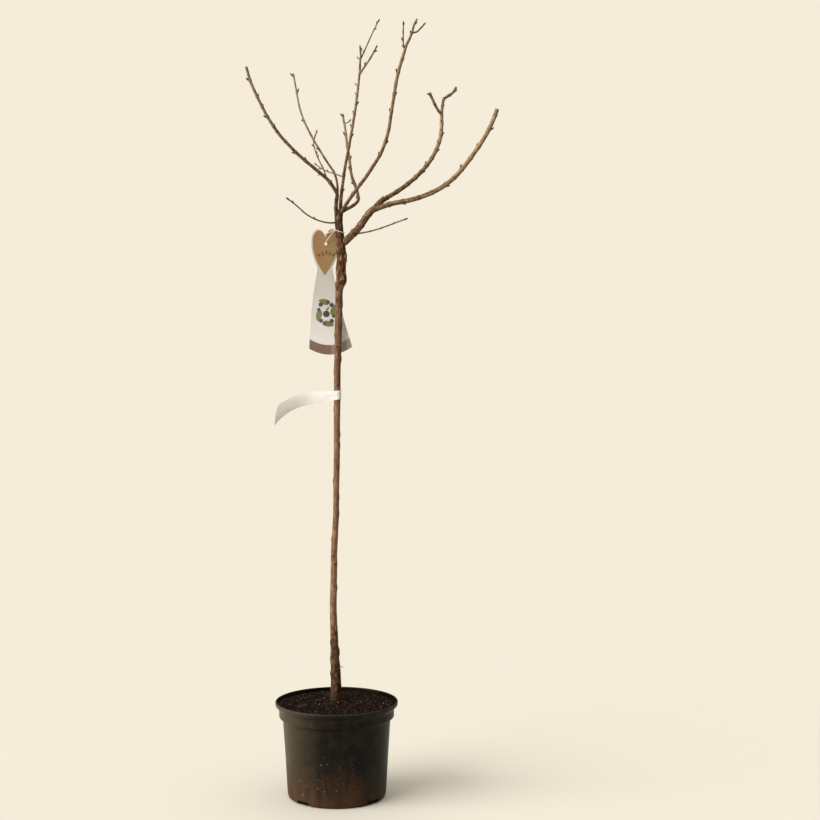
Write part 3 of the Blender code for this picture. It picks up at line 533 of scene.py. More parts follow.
def litterShapes(kind):
    # three unlike pieces of each kind, a unit long
    rng = random.Random(compost["seed"] + len(kind))
    shapes = bpy.data.collections.new(kind + "Shapes")
    for index in range(3):
        bm = bmesh.new()
        if kind == "rootFibres":
            count, girth = 6, 0.028 + 0.012 * index
            bend = [rng.uniform(-0.35, 0.35) for _ in range(2)]
            rings = []
            for step in range(count):
                t = step / (count - 1) - 0.5
                y = bend[0] * math.sin(t * 3.0) * 0.5
                z = bend[1] * (t * t - 0.25) * 0.8
                thick = girth * (1.0 - 0.6 * abs(t) * 2)
                rings.append([bm.verts.new((t, y + thick * math.cos(a), z + thick * math.sin(a)))
                              for a in (0, 2.1, 4.2)])
            for low, high in zip(rings, rings[1:]):
                for side in range(3):
                    bm.faces.new((low[side], low[side - 2], high[side - 2], high[side]))
            bm.faces.new(rings[0])
            bm.faces.new(rings[-1][::-1])
        elif kind == "barkChips":
            outline = []
            for corner in range(6):
                angle = corner * math.pi / 3
                reach = rng.uniform(0.75, 1.1)
                outline.append((0.5 * reach * math.cos(angle), 0.2 * reach * math.sin(angle)))
            low = [bm.verts.new((x, y, -0.05 + 0.12 * x * x)) for x, y in outline]
            high = [bm.verts.new((x * 0.9, y * 0.85, 0.06 + 0.12 * x * x)) for x, y in outline]
            for side in range(6):
                bm.faces.new((low[side - 1], low[side], high[side], high[side - 1]))
            bm.faces.new(high)
            bm.faces.new(low[::-1])
        else:
            bmesh.ops.create_icosphere(bm, subdivisions=1, radius=0.5)
            squash = (1.0, rng.uniform(0.7, 0.95), rng.uniform(0.6, 0.85))
            for vertex in bm.verts:
                push = 1 + rng.uniform(-0.34, 0.26)
                vertex.co = Vector([vertex.co[axis] * squash[axis] * push for axis in range(3)])
        bmesh.ops.recalc_face_normals(bm, faces=bm.faces)
        mesh = bpy.data.meshes.new(f"{kind}Shape{index}")
        bm.to_mesh(mesh)
        bm.free()
        shapes.objects.link(bpy.data.objects.new(mesh.name, mesh))
    return shapes


def scatterTree():
    # strews the shapes over the upper faces, each turned and sized at random
    tree, given, out = newTree("strewing", {
        "Shapes": "Collection", "Density": "Float", "Smallest": "Float", "Largest": "Float",
        "Tilt": "Float", "Inner": "Float", "Outer": "Float", "Seed": "Int", "Material": "Material"})
    split = addNode(tree, "ShaderNodeSeparateXYZ", None, {0: addNode(tree, "GeometryNodeInputPosition")})
    flat = addNode(tree, "ShaderNodeCombineXYZ", None, {0: split.outputs[0], 1: split.outputs[1]})
    normal = addNode(tree, "ShaderNodeSeparateXYZ", None, {0: addNode(tree, "GeometryNodeInputNormal")})
    fromStem = addNode(tree, "ShaderNodeVectorMath", {"operation": "DISTANCE", 1: stemFoot[:2] + (0,)},
                       {0: flat})
    fromMiddle = addNode(tree, "ShaderNodeVectorMath", {"operation": "LENGTH"}, {0: flat})
    clear = addNode(tree, "FunctionNodeCompare", {"operation": "GREATER_THAN"},
                    {0: fromStem.outputs["Value"], 1: given["Inner"]})
    within = addNode(tree, "FunctionNodeCompare", {"operation": "LESS_THAN"},
                     {0: fromMiddle.outputs["Value"], 1: given["Outer"]})
    upward = addNode(tree, "FunctionNodeCompare", {"operation": "GREATER_THAN", 1: 0.4},
                     {0: normal.outputs[2]})
    inRing = addNode(tree, "FunctionNodeBooleanMath", {"operation": "AND"}, {0: clear, 1: within})
    chosen = addNode(tree, "FunctionNodeBooleanMath", {"operation": "AND"}, {0: inRing, 1: upward})
    points = addNode(tree, "GeometryNodeDistributePointsOnFaces", None, {
        "Mesh": given["Geometry"], "Selection": chosen, "Density": given["Density"], "Seed": given["Seed"]})
    least = addNode(tree, "ShaderNodeVectorMath", {"operation": "MULTIPLY", 1: (-1, -1, 0)},
                    {0: given["Tilt"]})
    most = addNode(tree, "ShaderNodeVectorMath",
                   {"operation": "MULTIPLY_ADD", 1: (1, 1, 0), 2: (0, 0, 2 * math.pi)}, {0: given["Tilt"]})
    turn = addNode(tree, "FunctionNodeRandomValue", {"data_type": "FLOAT_VECTOR"},
                   {0: least, 1: most, "Seed": given["Seed"]})
    tilted = addNode(tree, "FunctionNodeEulerToRotation", None, {0: turn})
    rotation = addNode(tree, "FunctionNodeRotateRotation", {"rotation_space": "LOCAL"},
                       {0: points.outputs["Rotation"], 1: tilted})
    # one draw gives the size and the tone: most pieces are small and dark, a few large
    luck = addNode(tree, "FunctionNodeRandomValue", {"data_type": "FLOAT", 2: 0.0, 3: 1.0},
                   {"Seed": given["Seed"]}).outputs[1]
    skew = addNode(tree, "ShaderNodeMath", {"operation": "POWER", 1: 2.2}, {0: luck})
    size = addNode(tree, "ShaderNodeMapRange", None, {
        "Value": skew, "To Min": given["Smallest"], "To Max": given["Largest"]})
    shapes = addNode(tree, "GeometryNodeCollectionInfo", {"Separate Children": True, "Reset Children": True},
                     {"Collection": given["Shapes"]})
    which = addNode(tree, "FunctionNodeRandomValue", {"data_type": "INT", 4: 0, 5: 2},
                    {"Seed": given["Seed"]})
    placed = addNode(tree, "GeometryNodeInstanceOnPoints", {"Pick Instance": True}, {
        "Points": points, "Instance": shapes, "Instance Index": which.outputs[2],
        "Rotation": rotation, "Scale": size})
    named = addNode(tree, "GeometryNodeStoreNamedAttribute",
                    {"data_type": "FLOAT", "domain": "INSTANCE", "Name": "tone"},
                    {"Geometry": placed, "Value": luck})
    endTree(tree, named, given["Material"], out, smooth=False)
    return tree


def makeCompost():
    gap = 0.3 * mm
    wall = potInside(gap)
    edge = wall[0][0]
    top = [(0.0, compost["crown"]), (compost["flat"], compost["crown"]),
           (compost["flat"] + 24 * mm, compost["crown"] - 2.5 * mm),
           (edge - 8 * mm, compost["edge"] + 0.6 * mm), (edge, compost["edge"])]
    buried = fineProfile([top[-1]] + wall[1:] + [(0.0, pot["floor"] + gap)], 14 * mm)
    profile = fineProfile(top, 1.5 * mm) + buried[1:]

    def crumbly(radius, height, angle):
        # raked by hand: lumps and hollows, less where it meets the wall
        if height < compost["edge"] - 0.5 * mm:
            return radius, height
        x, y = radius * math.cos(angle), radius * math.sin(angle)
        lump = noise.fractal(Vector((x * compost["lumps"], y * compost["lumps"], 3.1)), 0.75, 2.2, 5)
        hold = float(1 - 0.7 * eased(edge - 6 * mm, edge, radius))
        high, wide = compost["heap"]
        heap = high * math.exp(-((x - stemFoot[0]) ** 2 + (y - stemFoot[1]) ** 2) / wide ** 2)
        # pushed up against the wall behind the stem
        turn = math.cos(angle - math.radians(compost["bankTurn"]))
        bank = compost["bank"] * float(eased(-0.1, 0.7, turn) * eased(48 * mm, edge, radius))
        return radius, height - 1.2 * mm + compost["relief"] * lump * hold + heap + bank

    bed = turned("compostBed", profile, compost["sides"], crumbly)
    bed.data.materials.append(moistCompost("dampPeat", compost["shades"], 0.12))
    tree = scatterTree()
    ground = [tuple(v.co) for v in bed.data.vertices], [tuple(p.vertices) for p in bed.data.polygons]
    for order, (kind, litter) in enumerate(compost["litter"].items()):
        pieces = meshObject(kind, *ground)
        runTree(pieces, tree, {
            "Shapes": litterShapes(kind), "Density": litter["density"] * 1.0,
            "Smallest": litter["size"][0] * mm, "Largest": litter["size"][1] * mm,
            "Tilt": math.radians(litter["tilt"]), "Inner": compost["stemRoom"],
            "Outer": edge - compost["edgeRoom"], "Seed": compost["seed"] + order,
            "Material": moistCompost(kind, litter["shades"], 0.05)})
        finishPiece(pieces, "compost")
    finishPiece(bed, "compost", "compost")


# Limbs: the stem from its stations, the boughs and twigs by their leans and headings

stem = {
    # height above the compost, sway to the right of the origin, and girth, all in mm
    "stations": [
        (0, -1.5, 21.2), (40, -2.2, 18.2), (100, -4.6, 14.2), (165, -6.3, 12.4), (250, -4.8, 11.4),
        (350, -0.6, 10.6), (450, 1.1, 11.0), (580, 2.3, 11.8), (660, 4.5, 12.4), (728, 6.0, 12.8),
        (752, 9.6, 16.2), (800, 10.4, 16.6), (830, 7.8, 15.2), (853, 5.8, 13.6), (877, 9.6, 11.2)],
    "back": (26 * mm, 10 * mm),      # distance behind the origin, at the foot and at the fork
    "step": 16 * mm,
    "rough": (118, 150),             # mm over which the old flaky bark gives way to smooth bark
    "graft": (724, 742, 852, 866),   # mm: scaly from the second to the third
    "crotch": (850, 866),            # mm over which it turns old again, under the boughs
    "flare": (0.6, 9),               # mm by which the foot spreads, and the rise over which it does
    "dome": (868, 9.2),              # mm: where the top begins to close, and over what rise
    # darker zones, in mm: begins, full, full until, ends, and how dark; stains at the foot, painted shadow of
    # the stake under the graft, painted shadow of the tie at the top
    "zones": [(-2, -1, 100, 140, 0.57), (470, 640, 715, 735, 0.34), (800, 845, 900, 901, 0.5),
              (-2, -1, 4, 26, 0.3)],
    # knots and scars: rise in mm, turn in degrees, width and height in mm
    "knots": [
        (28, 60, 6, 2.1), (47, 150, 5, 1.4), (74, 205, 5, 1.6), (88, 8, 5, 2.2),
        (104, 172, 4, 1.3), (133, 300, 4, 1.2), (160, 95, 3, 0.7), (203, 10, 3.4, 1.4),
        (247, 62, 4.6, 1.7), (262, 95, 4.2, 0.9), (291, 200, 3.5, 1), (312, 120, 3.6, 0.8),
        (338, 12, 3.6, 1), (366, 350, 3.4, 0.8), (395, 170, 3.8, 1.3), (418, 88, 3.2, 0.7),
        (441, 285, 3.6, 1.2), (459, 8, 3.6, 1), (478, 20, 3.6, 1.3), (501, 250, 3.6, 0.9),
        (523, 175, 3.4, 1), (545, 352, 3.8, 0.9), (566, 80, 3.4, 1), (590, 186, 3.4, 0.8),
        (612, 350, 3.8, 1.4), (634, 100, 3.4, 0.8), (655, 165, 3.6, 1.2), (674, 5, 4, 1.1),
        (692, 40, 3.6, 1.2), (708, 352, 4, 1), (716, 120, 3.6, 0.8), (744, 150, 6, 2.2),
        (752, 20, 7, 2.5), (768, 185, 6, 1.8), (771, 300, 6, 1.7), (779, 95, 5, 1.6),
        (790, 5, 6, 2.1), (803, 160, 5, 1.4), (809, 265, 6, 1.8), (818, 60, 5, 1.6)],
}
ringStep = 15 * mm
twigStep = 12 * mm
collarReach = 14 * mm
limbGap = 0.3 * mm
stemFoot = (-1.5 * mm, 26 * mm, 168.3 * mm)

# buds: mm along, turn in degrees (0 right, 90 front, 180 left, 270 back as seen from the front), size
# a bud of size 0 is a blind node; spurs: mm along, turn, length in mm
boughs = {
    # fork_left is darkened all over by its shade: painted shadow of the tie round the fork
    "fork_left": dict(
        on="trunk", at=838 * mm, length=66 * mm, girth=(7.4, 6.8, 6.4),
        leans=(24, 5, 4, 19), headings=(-180, -140, -65, -45), age=(1.1, 0.85), shade=0.62,
        buds=[(38, 160, 0.7), (55, 95, 0)]),
    "bough_left": dict(
        on="fork_left", at=-1.5 * mm, length=276 * mm, girth=(6.4, 6.2, 4.8), cut=True,
        leans=(30, 53, 51, 42, 31, 28, 16), headings=(-145, -160, -160, -160, -155, -150, -140),
        buds=[(24, 20, 0.8), (83, 10, 0.95), (105, 172, 1.05), (131, 275, 0.9), (154, 95, 0), (164, 15, 0.7),
              (184, 172, 1.15), (203, 30, 0.8), (222, 10, 0.9), (252, 168, 1.35)],
        spurs=[(46, 175, 5.5)]),
    "bough_back_left": dict(
        on="fork_left", at=-1.5 * mm, length=256 * mm, girth=(4.8, 4.0, 3.3), cut=True,
        leans=(20, 39, 39, 34, 24, 26), headings=(80, 145, 140, 135, 115, 115),
        buds=[(42, 60, 0.8), (75, 100, 0.7), (97, 172, 0.9), (128, 265, 0.9), (159, 165, 1.0), (190, 70, 0.8),
              (218, 12, 1.35), (251, 170, 1.35)]),
    "bough_centre": dict(
        on="trunk", at=-5 * mm, length=230 * mm, girth=(8.6, 5.4, 4.2),
        leans=(6, 11, 14, 12, 12, 7), headings=(-55, -45, -35, -35, -40, -45),
        buds=[(35, 5, 0.9), (62, 190, 0.7), (96, 85, 0), (114, 275, 0.9), (131, 8, 1.0), (147, 175, 0.9),
              (169, 168, 0.9), (186, 8, 1.1), (201, 172, 0.8)],
        spurs=[(217, 178, 6.5)]),
    "bough_front": dict(
        on="trunk", at=864 * mm, length=322 * mm, girth=(8.6, 6.2, 5.4),
        leans=(39, 43, 37, 20, 23, 27), headings=(-45, -30, -35, -65, -65, -45),
        buds=[(48, 175, 0.6), (72, 280, 0.8), (105, 70, 0.6), (135, 168, 0.9), (161, 8, 1.1), (184, 92, 0),
              (216, 172, 1.05), (246, 8, 1.0), (264, 270, 0.9), (285, 170, 1.2), (308, 30, 0.7)]),
    "bough_crooked": dict(
        on="trunk", at=867 * mm, length=189 * mm, girth=(7.0, 6.2, 4.2),
        leans=(56, 64, 31, 25, 15, 23, 14, 22), headings=(55, 0, 105, 150, 115, 115, 115, 115),
        buds=[(32, 10, 0), (50, 172, 0.9), (66, 60, 0.6), (80, 178, 1.05), (86, 20, 0), (108, 172, 0.9),
              (126, 8, 1.15), (149, 265, 0.9), (172, 172, 1.15)]),
    "bough_right": dict(
        on="trunk", at=812 * mm, length=92 * mm, girth=(14.6, 12.8, 12.0),
        leans=(50, 48, 34, 50), headings=(-20, -20, -20, -20), age=(1.1, 0.85),
        buds=[(33, 172, 0.7), (52, 300, 0.7), (76, 70, 0)], spurs=[(62, 176, 7.0)]),
    "bough_right_inner": dict(
        on="bough_right", at=-6 * mm, length=235 * mm, girth=(9.8, 8.4, 6.4),
        leans=(50, 61, 54, 40, 29, 11), headings=(35, 25, 30, 30, 60, 95),
        buds=[(36, 95, 0), (58, 260, 0.8), (83, 110, 0.6), (102, 178, 0.7), (119, 5, 0.9), (135, 176, 1.15),
              (151, 265, 0.8), (168, 2, 1.1), (185, 165, 0.7), (200, 10, 1.15), (222, 100, 0.8)]),
    "bough_right_outer": dict(
        on="bough_right", at=-9 * mm, length=300 * mm, girth=(9.8, 8.9, 6.9), cut=True,
        leans=(67, 81, 64, 40, 36, 19), headings=(-15, -10, -15, -20, -25, -30),
        buds=[(34, 190, 0.6), (59, 2, 1.0), (87, 92, 0), (112, 275, 0.9), (141, 2, 1.0), (160, 95, 0.6),
              (179, 178, 1.2), (204, 280, 0.9), (228, 168, 0.9), (264, 8, 1.15), (288, 120, 0.7)]),
}
twigMasses = {
    "twigs_centre": dict(
        on="bough_centre", length=53 * mm, girth=(4.1, 3.8, 2.8),
        leans=(15, 4, 12, 18), headings=(-50, -55, -70, -120),
        buds=[(20, 85, 0.7), (48, 8, 1.0)], spurs=[(32, 176, 6.5)],
        arms=[dict(at=6 * mm, length=62 * mm, girth=(3.8, 3.5, 2.8),
                   leans=(47, 45, 40), headings=(-45, -45, -50),
                   buds=[(22, 172, 1.0), (39, 90, 0.6), (53, 8, 1.0)]),
              dict(at=32 * mm, length=84 * mm, girth=(3.0, 2.6, 2.0),
                   leans=(33, 34, 35), headings=(50, 50, 45),
                   buds=[(16, 170, 0.7), (40, 270, 0.7), (65, 10, 0.9), (77, 175, 0.8)])]),
    "twigs_front": dict(
        on="bough_front", length=59 * mm, girth=(5.3, 4.5, 3.2), cut=True,
        leans=(21, 36, 20, 41), headings=(-45, -40, -45, -40),
        buds=[(18, 95, 0), (33, 170, 0.9), (50, 20, 0.8)],
        arms=[dict(at=2 * mm, length=44 * mm, girth=(2.8, 2.4, 2.0),
                   leans=(33, -9, 29), headings=(-135, -105, -75),
                   buds=[(5, 172, 0.8), (17, 172, 1.0), (30, 95, 1.0)], tip=1.35),
              dict(at=34 * mm, length=31 * mm, girth=(3.4, 3.0, 2.4),
                   leans=(93, 49, 47), headings=(40, 30, 40), buds=[(20, 60, 0.8)])]),
    "twigs_right": dict(
        on="bough_right_inner", length=68 * mm, girth=(5.3, 5.6, 4.6), cut=True,
        leans=(26, 18, 67, 25), headings=(80, 75, 20, 35),
        buds=[(20, 10, 0.6), (46, 20, 0.8), (60, 8, 0.9)],
        arms=[dict(at=3 * mm, length=48 * mm, girth=(5.2, 5.4, 4.8), cut=True,
                   leans=(52, 31, 37), headings=(-150, -135, -140), buds=[(24, 95, 0.6), (44, 172, 0.9)])]),
    "twigs_crooked": dict(
        on="bough_crooked", length=22 * mm, girth=(4.2, 4.0, 3.2), cut=True,
        leans=(27, 26, 24), headings=(115, 110, 105), buds=[(18, 172, 1.2)],
        arms=[dict(at=5 * mm, length=14 * mm, girth=(2.4, 2.0, 1.8),
                   leans=(111, 45), headings=(-30, -45), buds=[])]),
    "twigs_left": dict(
        on="bough_left", at=34 * mm, length=91 * mm, girth=(3.0, 2.4, 2.0),
        leans=(20, 31, 26, 20), headings=(130, 155, 125, 10),
        buds=[(24, 275, 0.8), (41, 30, 0.8), (49, 8, 0.9), (64, 172, 1.0), (82, 90, 0.9)], arms=[]),
    "twigs_middle": dict(
        on="bough_centre", at=59 * mm, length=67 * mm, girth=(2.8, 2.3, 1.9),
        leans=(75, 73, 57), headings=(145, 145, 140), buds=[(18, 265, 0.7), (35, 20, 0.8), (51, 160, 0.9)],
        arms=[]),
    # the two low twigs are darkened all over by their shade: painted shade
    "twigs_low_right": dict(
        on="bough_right", at=31 * mm, length=108 * mm, girth=(3.4, 2.8, 2.3),
        leans=(87, 77, 73, 73), headings=(-15, -30, -35, -30), age=(0.0, 0.0), shade=0.6,
        buds=[(33, 275, 0.6), (57, 90, 0.6), (83, 190, 0.6)], tip=1.4, arms=[]),
    "twigs_low_left": dict(
        on="fork_left", at=15 * mm, length=101 * mm, girth=(3.4, 2.8, 2.3),
        leans=(98, 71, 51, 55), headings=(-165, -160, -155, -155), age=(0.0, 0.0), shade=0.5,
        buds=[(41, 8, 0.7), (67, 270, 0.7), (90, 10, 0.7)], tip=1.3, arms=[]),
}
# pruned stubs and a dead spur, girth in mm
stubs = [
    dict(on="trunk", at=61 * mm, length=15 * mm, girth=1.8, lean=92, heading=-5, buds=[]),
    dict(on="bough_right_inner", at=2 * mm, length=28 * mm, girth=9.6, lean=44, heading=8,
         buds=[(27.2, 178, 0.62), (27.6, 12, 0.7)]),
    dict(on="twigs_right", at=33 * mm, length=4.5 * mm, girth=4.0, lean=12, heading=180, buds=[]),
]


def spread(values, share):
    # evenly spread values, read at a share of the way along
    place = min(max(share, 0.0), 1.0) * (len(values) - 1)
    index = min(int(place), len(values) - 2)
    return values[index] + (values[index + 1] - values[index]) * (place - index)


def toward(lean, heading):
    # the direction with a lean from upright and a heading from +X towards +Y
    lean, heading = math.radians(lean), math.radians(heading)
    return Vector((math.sin(lean) * math.cos(heading), math.sin(lean) * math.sin(heading), math.cos(lean)))


def limbPath(foot, limb, step):
    # points and radii of a limb that grows from its foot by its leans and headings
    count = max(3, round(limb["length"] / step))
    points = [Vector(foot)]
    for index in range(count):
        share = (index + 0.5) / count
        way = toward(spread(limb["leans"], share), spread(limb["headings"], share))
        points.append(points[-1] + way * (limb["length"] / count))
    footGirth, girth, tipGirth = limb["girth"]
    radii = []
    for index in range(count + 1):
        share = index / count
        collar = (footGirth - girth) * math.exp(-share * limb["length"] / collarReach)
        radii.append((girth + (tipGirth - girth) * share + collar) / 2 * mm)
    return points, radii


def stemAt(rise):
    # sway and radius of the stem at a height above the compost
    for low, high in zip(stem["stations"], stem["stations"][1:]):
        if rise / mm <= high[0]:
            break
    share = min(1.0, (rise / mm - low[0]) / (high[0] - low[0]))
    share = share * share * (3 - 2 * share)
    return (low[1] + (high[1] - low[1]) * share) * mm, (low[2] + (high[2] - low[2]) * share) / 2 * mm


def stemBack(rise):
    near, far = stem["back"]
    return near + (far - near) * rise / (stem["stations"][-1][0] * mm)


def stemPath():
    height = stem["stations"][-1][0] * mm
    count = round(height / stem["step"])
    points, radii = [], []
    for index in range(count + 1):
        rise = height * index / count
        sway, radius = stemAt(rise)
        points.append(Vector((sway, stemBack(rise), stemFoot[2] + rise)))
        radii.append(radius)
    return points, radii


def pointAlong(path, distance):
    # a point of a path and the way there, a distance from its foot, or before its tip where negative
    points = path[0]
    lengths = [(b - a).length for a, b in zip(points, points[1:])]
    if distance < 0:
        distance += sum(lengths)
    for start, end, length in zip(points, points[1:], lengths):
        if distance <= length:
            return start.lerp(end, distance / length), (end - start).normalized()
        distance -= length
    return points[-1].copy(), (points[-1] - points[-2]).normalized()


def curvedThrough(points, radii, step):
    # the same points joined by a smooth curve, read every step; positions, radii and distances
    p = np.array([list(v) for v in points])
    ghosts = np.vstack([2 * p[0] - p[1], p, 2 * p[-1] - p[-2]])
    fine, girth = [], []
    for i in range(len(p) - 1):
        count = max(2, round(np.linalg.norm(p[i + 1] - p[i]) / step))
        for t in np.arange(count) / count:
            fine.append(smoothAt(*ghosts[i:i + 4], t))
            girth.append(radii[i] + (radii[i + 1] - radii[i]) * t)
    fine, girth = np.array(fine + [p[-1]]), np.array(girth + [radii[-1]])
    along = np.concatenate([[0], np.cumsum(np.linalg.norm(np.diff(fine, axis=0), axis=1))])
    return fine, girth, along


def sideways(way, turn):
    # a direction square to the way: 0 to the right as seen from the front, 90 to the front
    right = Vector((0, 1, 0)).cross(way)
    if right.length < 0.1:
        right = Vector((1, 0, 0))
    right.normalize()
    front = right.cross(way).normalized()
    turn = math.radians(turn)
    return right * math.cos(turn) + front * math.sin(turn)


print("limbs: rules ready")

twigWood = {
    "budLength": 5.6 * mm,
    "budGirth": 2.7 * mm,
    "budLean": 30,              # degrees off its shoot
    "budSeat": 0.78,            # share of the shoot's radius
    "tipBud": 1.15,             # size of an end bud
    "nodeSwell": 0.17,          # how much a shoot thickens at a bud, as a share
    "nodeReach": 2.4 * mm,
    "kink": 0.45 * mm,          # a shoot strays this far between its buds
    "cutBevel": 0.35 * mm,
    "rings": (0.4, 0.8),        # darkness of the ring at a bud and at a blind node
    "ringWidth": 0.9 * mm,
    "neckReach": 7 * mm,        # over which a bough's foot is narrower
    "crotchShadeReach": 15 * mm,     # and over which its crotch gets painted shade
    "dome": 1.3,                # length of a closed tip as a share of its radius
    "spurGirth": 1.9,
    "seed": 41,
}
strands = {"trunk": [], "bough": [], "twig": []}    # lines for the skin tree
scars = {"trunk": [], "bough": [], "twig": []}      # place, width and height of each leaf scar
budList = []                                         # place, axis, out, size, tone
rng = random.Random(twigWood["seed"])


def addStrand(kind, points, radii, buds, step, own, cut=False, age=(0.5, 0.0), shade=0.0, kink=True,
              neck=0.0):
    # one limb as a fine line with its girth, and its buds as places
    fine, radius, along = curvedThrough(points, radii, step)
    total = along[-1]
    # shade darkens the whole limb: painted shade
    dark = np.full(len(along), shade)
    swell = np.zeros(len(along))
    for at, _, size in buds:
        away = (along - at * mm) / twigWood["nodeReach"]
        swell += twigWood["nodeSwell"] * (0.6 + 0.5 * min(size, 1)) * np.exp(-away ** 2)
        ring = twigWood["rings"][0 if size else 1]
        dark += ring * np.exp(-((along - at * mm) / twigWood["ringWidth"] + 1) ** 2)
    # the foot narrows inside the limb that carries it, and gets painted shade in the crotch
    radius = radius * (1 + swell) * (1 - neck * np.exp(-(along / twigWood["neckReach"]) ** 2))
    dark += 2 * neck * np.exp(-(along / twigWood["crotchShadeReach"]) ** 2)
    if not cut:
        # closed by a dome
        reach = twigWood["dome"] * radius[-1]
        radius = radius * np.sqrt(np.clip(1 - np.clip((along - total + reach) / reach, 0, 1) ** 2, 0.03, 1))
    if kink:
        # slight bends from one bud to the next
        fade = eased(0, 12 * mm, along) * (1 - eased(total - 8 * mm, total, along))
        for axis in range(3):
            wave = [noise.noise(Vector((s * 42, own * 7.3, axis * 5.1))) for s in along]
            fine[:, axis] += np.array(wave) * twigWood["kink"] * fade
    old = age[0] + (age[1] - age[0]) * along / total
    place = {"points": fine, "radius": radius, "along": along, "dark": np.clip(dark, 0, 1), "old": old,
             "cut": np.zeros(len(along)), "rough": np.ones(len(along)), "own": own}
    if cut:
        # a sawn end: two close rings, the last one bare wood
        way = fine[-1] - fine[-2]
        way /= np.linalg.norm(way)
        bevel = twigWood["cutBevel"]
        place["points"] = np.vstack([fine[:-1], fine[-1] - way * bevel, fine[-1] - way * 0.08 * mm, fine[-1]])
        place["radius"] = np.concatenate([radius[:-1], radius[-1] * np.array([1.0, 0.93, 0.84])])
        tails = {"dark": [0, 0, 0], "cut": [0, 0, 1], "rough": [1, 0, 0], "old": [old[-1]] * 3}
        for key, tail in tails.items():
            place[key] = np.concatenate([place[key][:-1], tail])
        place["along"] = np.concatenate([along[:-1], [total - bevel, total - 0.08 * mm, total]])
    strands[kind].append(place)
    return fine, radius, along


def addBuds(kind, fine, radius, along, buds):
    # each bud stands off its shoot above a leaf scar
    for at, turn, size in buds:
        if size <= 0:
            continue
        index = int(np.clip(np.searchsorted(along, at * mm), 1, len(along) - 2))
        way = Vector(fine[index + 1] - fine[index - 1]).normalized()
        out = sideways(way, turn)
        lean = math.radians(twigWood["budLean"] + rng.uniform(-6, 8))
        axis = (way * math.cos(lean) + out * math.sin(lean)).normalized()
        root = Vector(fine[index]) + out * radius[index] * twigWood["budSeat"]
        budList.append((root, axis, out, size * rng.uniform(0.92, 1.08), rng.uniform(0, 1)))
        scars[kind].append((root - way * 0.9 * mm, 1.5 * mm * size, 0.22 * mm * size))


def addTipBud(fine, size):
    way = Vector(fine[-1] - fine[-4]).normalized()
    out = sideways(way, rng.uniform(0, 360))
    budList.append((Vector(fine[-1]) - way * 1.6 * mm, way, out, size, rng.uniform(0.2, 1)))


def addSpurs(kind, path, spurs, own):
    # short side shoots that end in a bud
    for at, turn, length in spurs:
        root, way = pointAlong(path, at * mm)
        out = sideways(way, turn)
        tip = root + (way * 0.55 + out * 0.83).normalized() * length * mm
        middle = root.lerp(tip, 0.5) + out * 0.5 * mm
        radii = [share * twigWood["spurGirth"] / 2 * mm for share in (1.5, 1, 1)]
        shape = addStrand(kind, [root, middle, tip], radii, [], 0.8 * mm, own + at, kink=False)
        addTipBud(shape[0], 0.7)


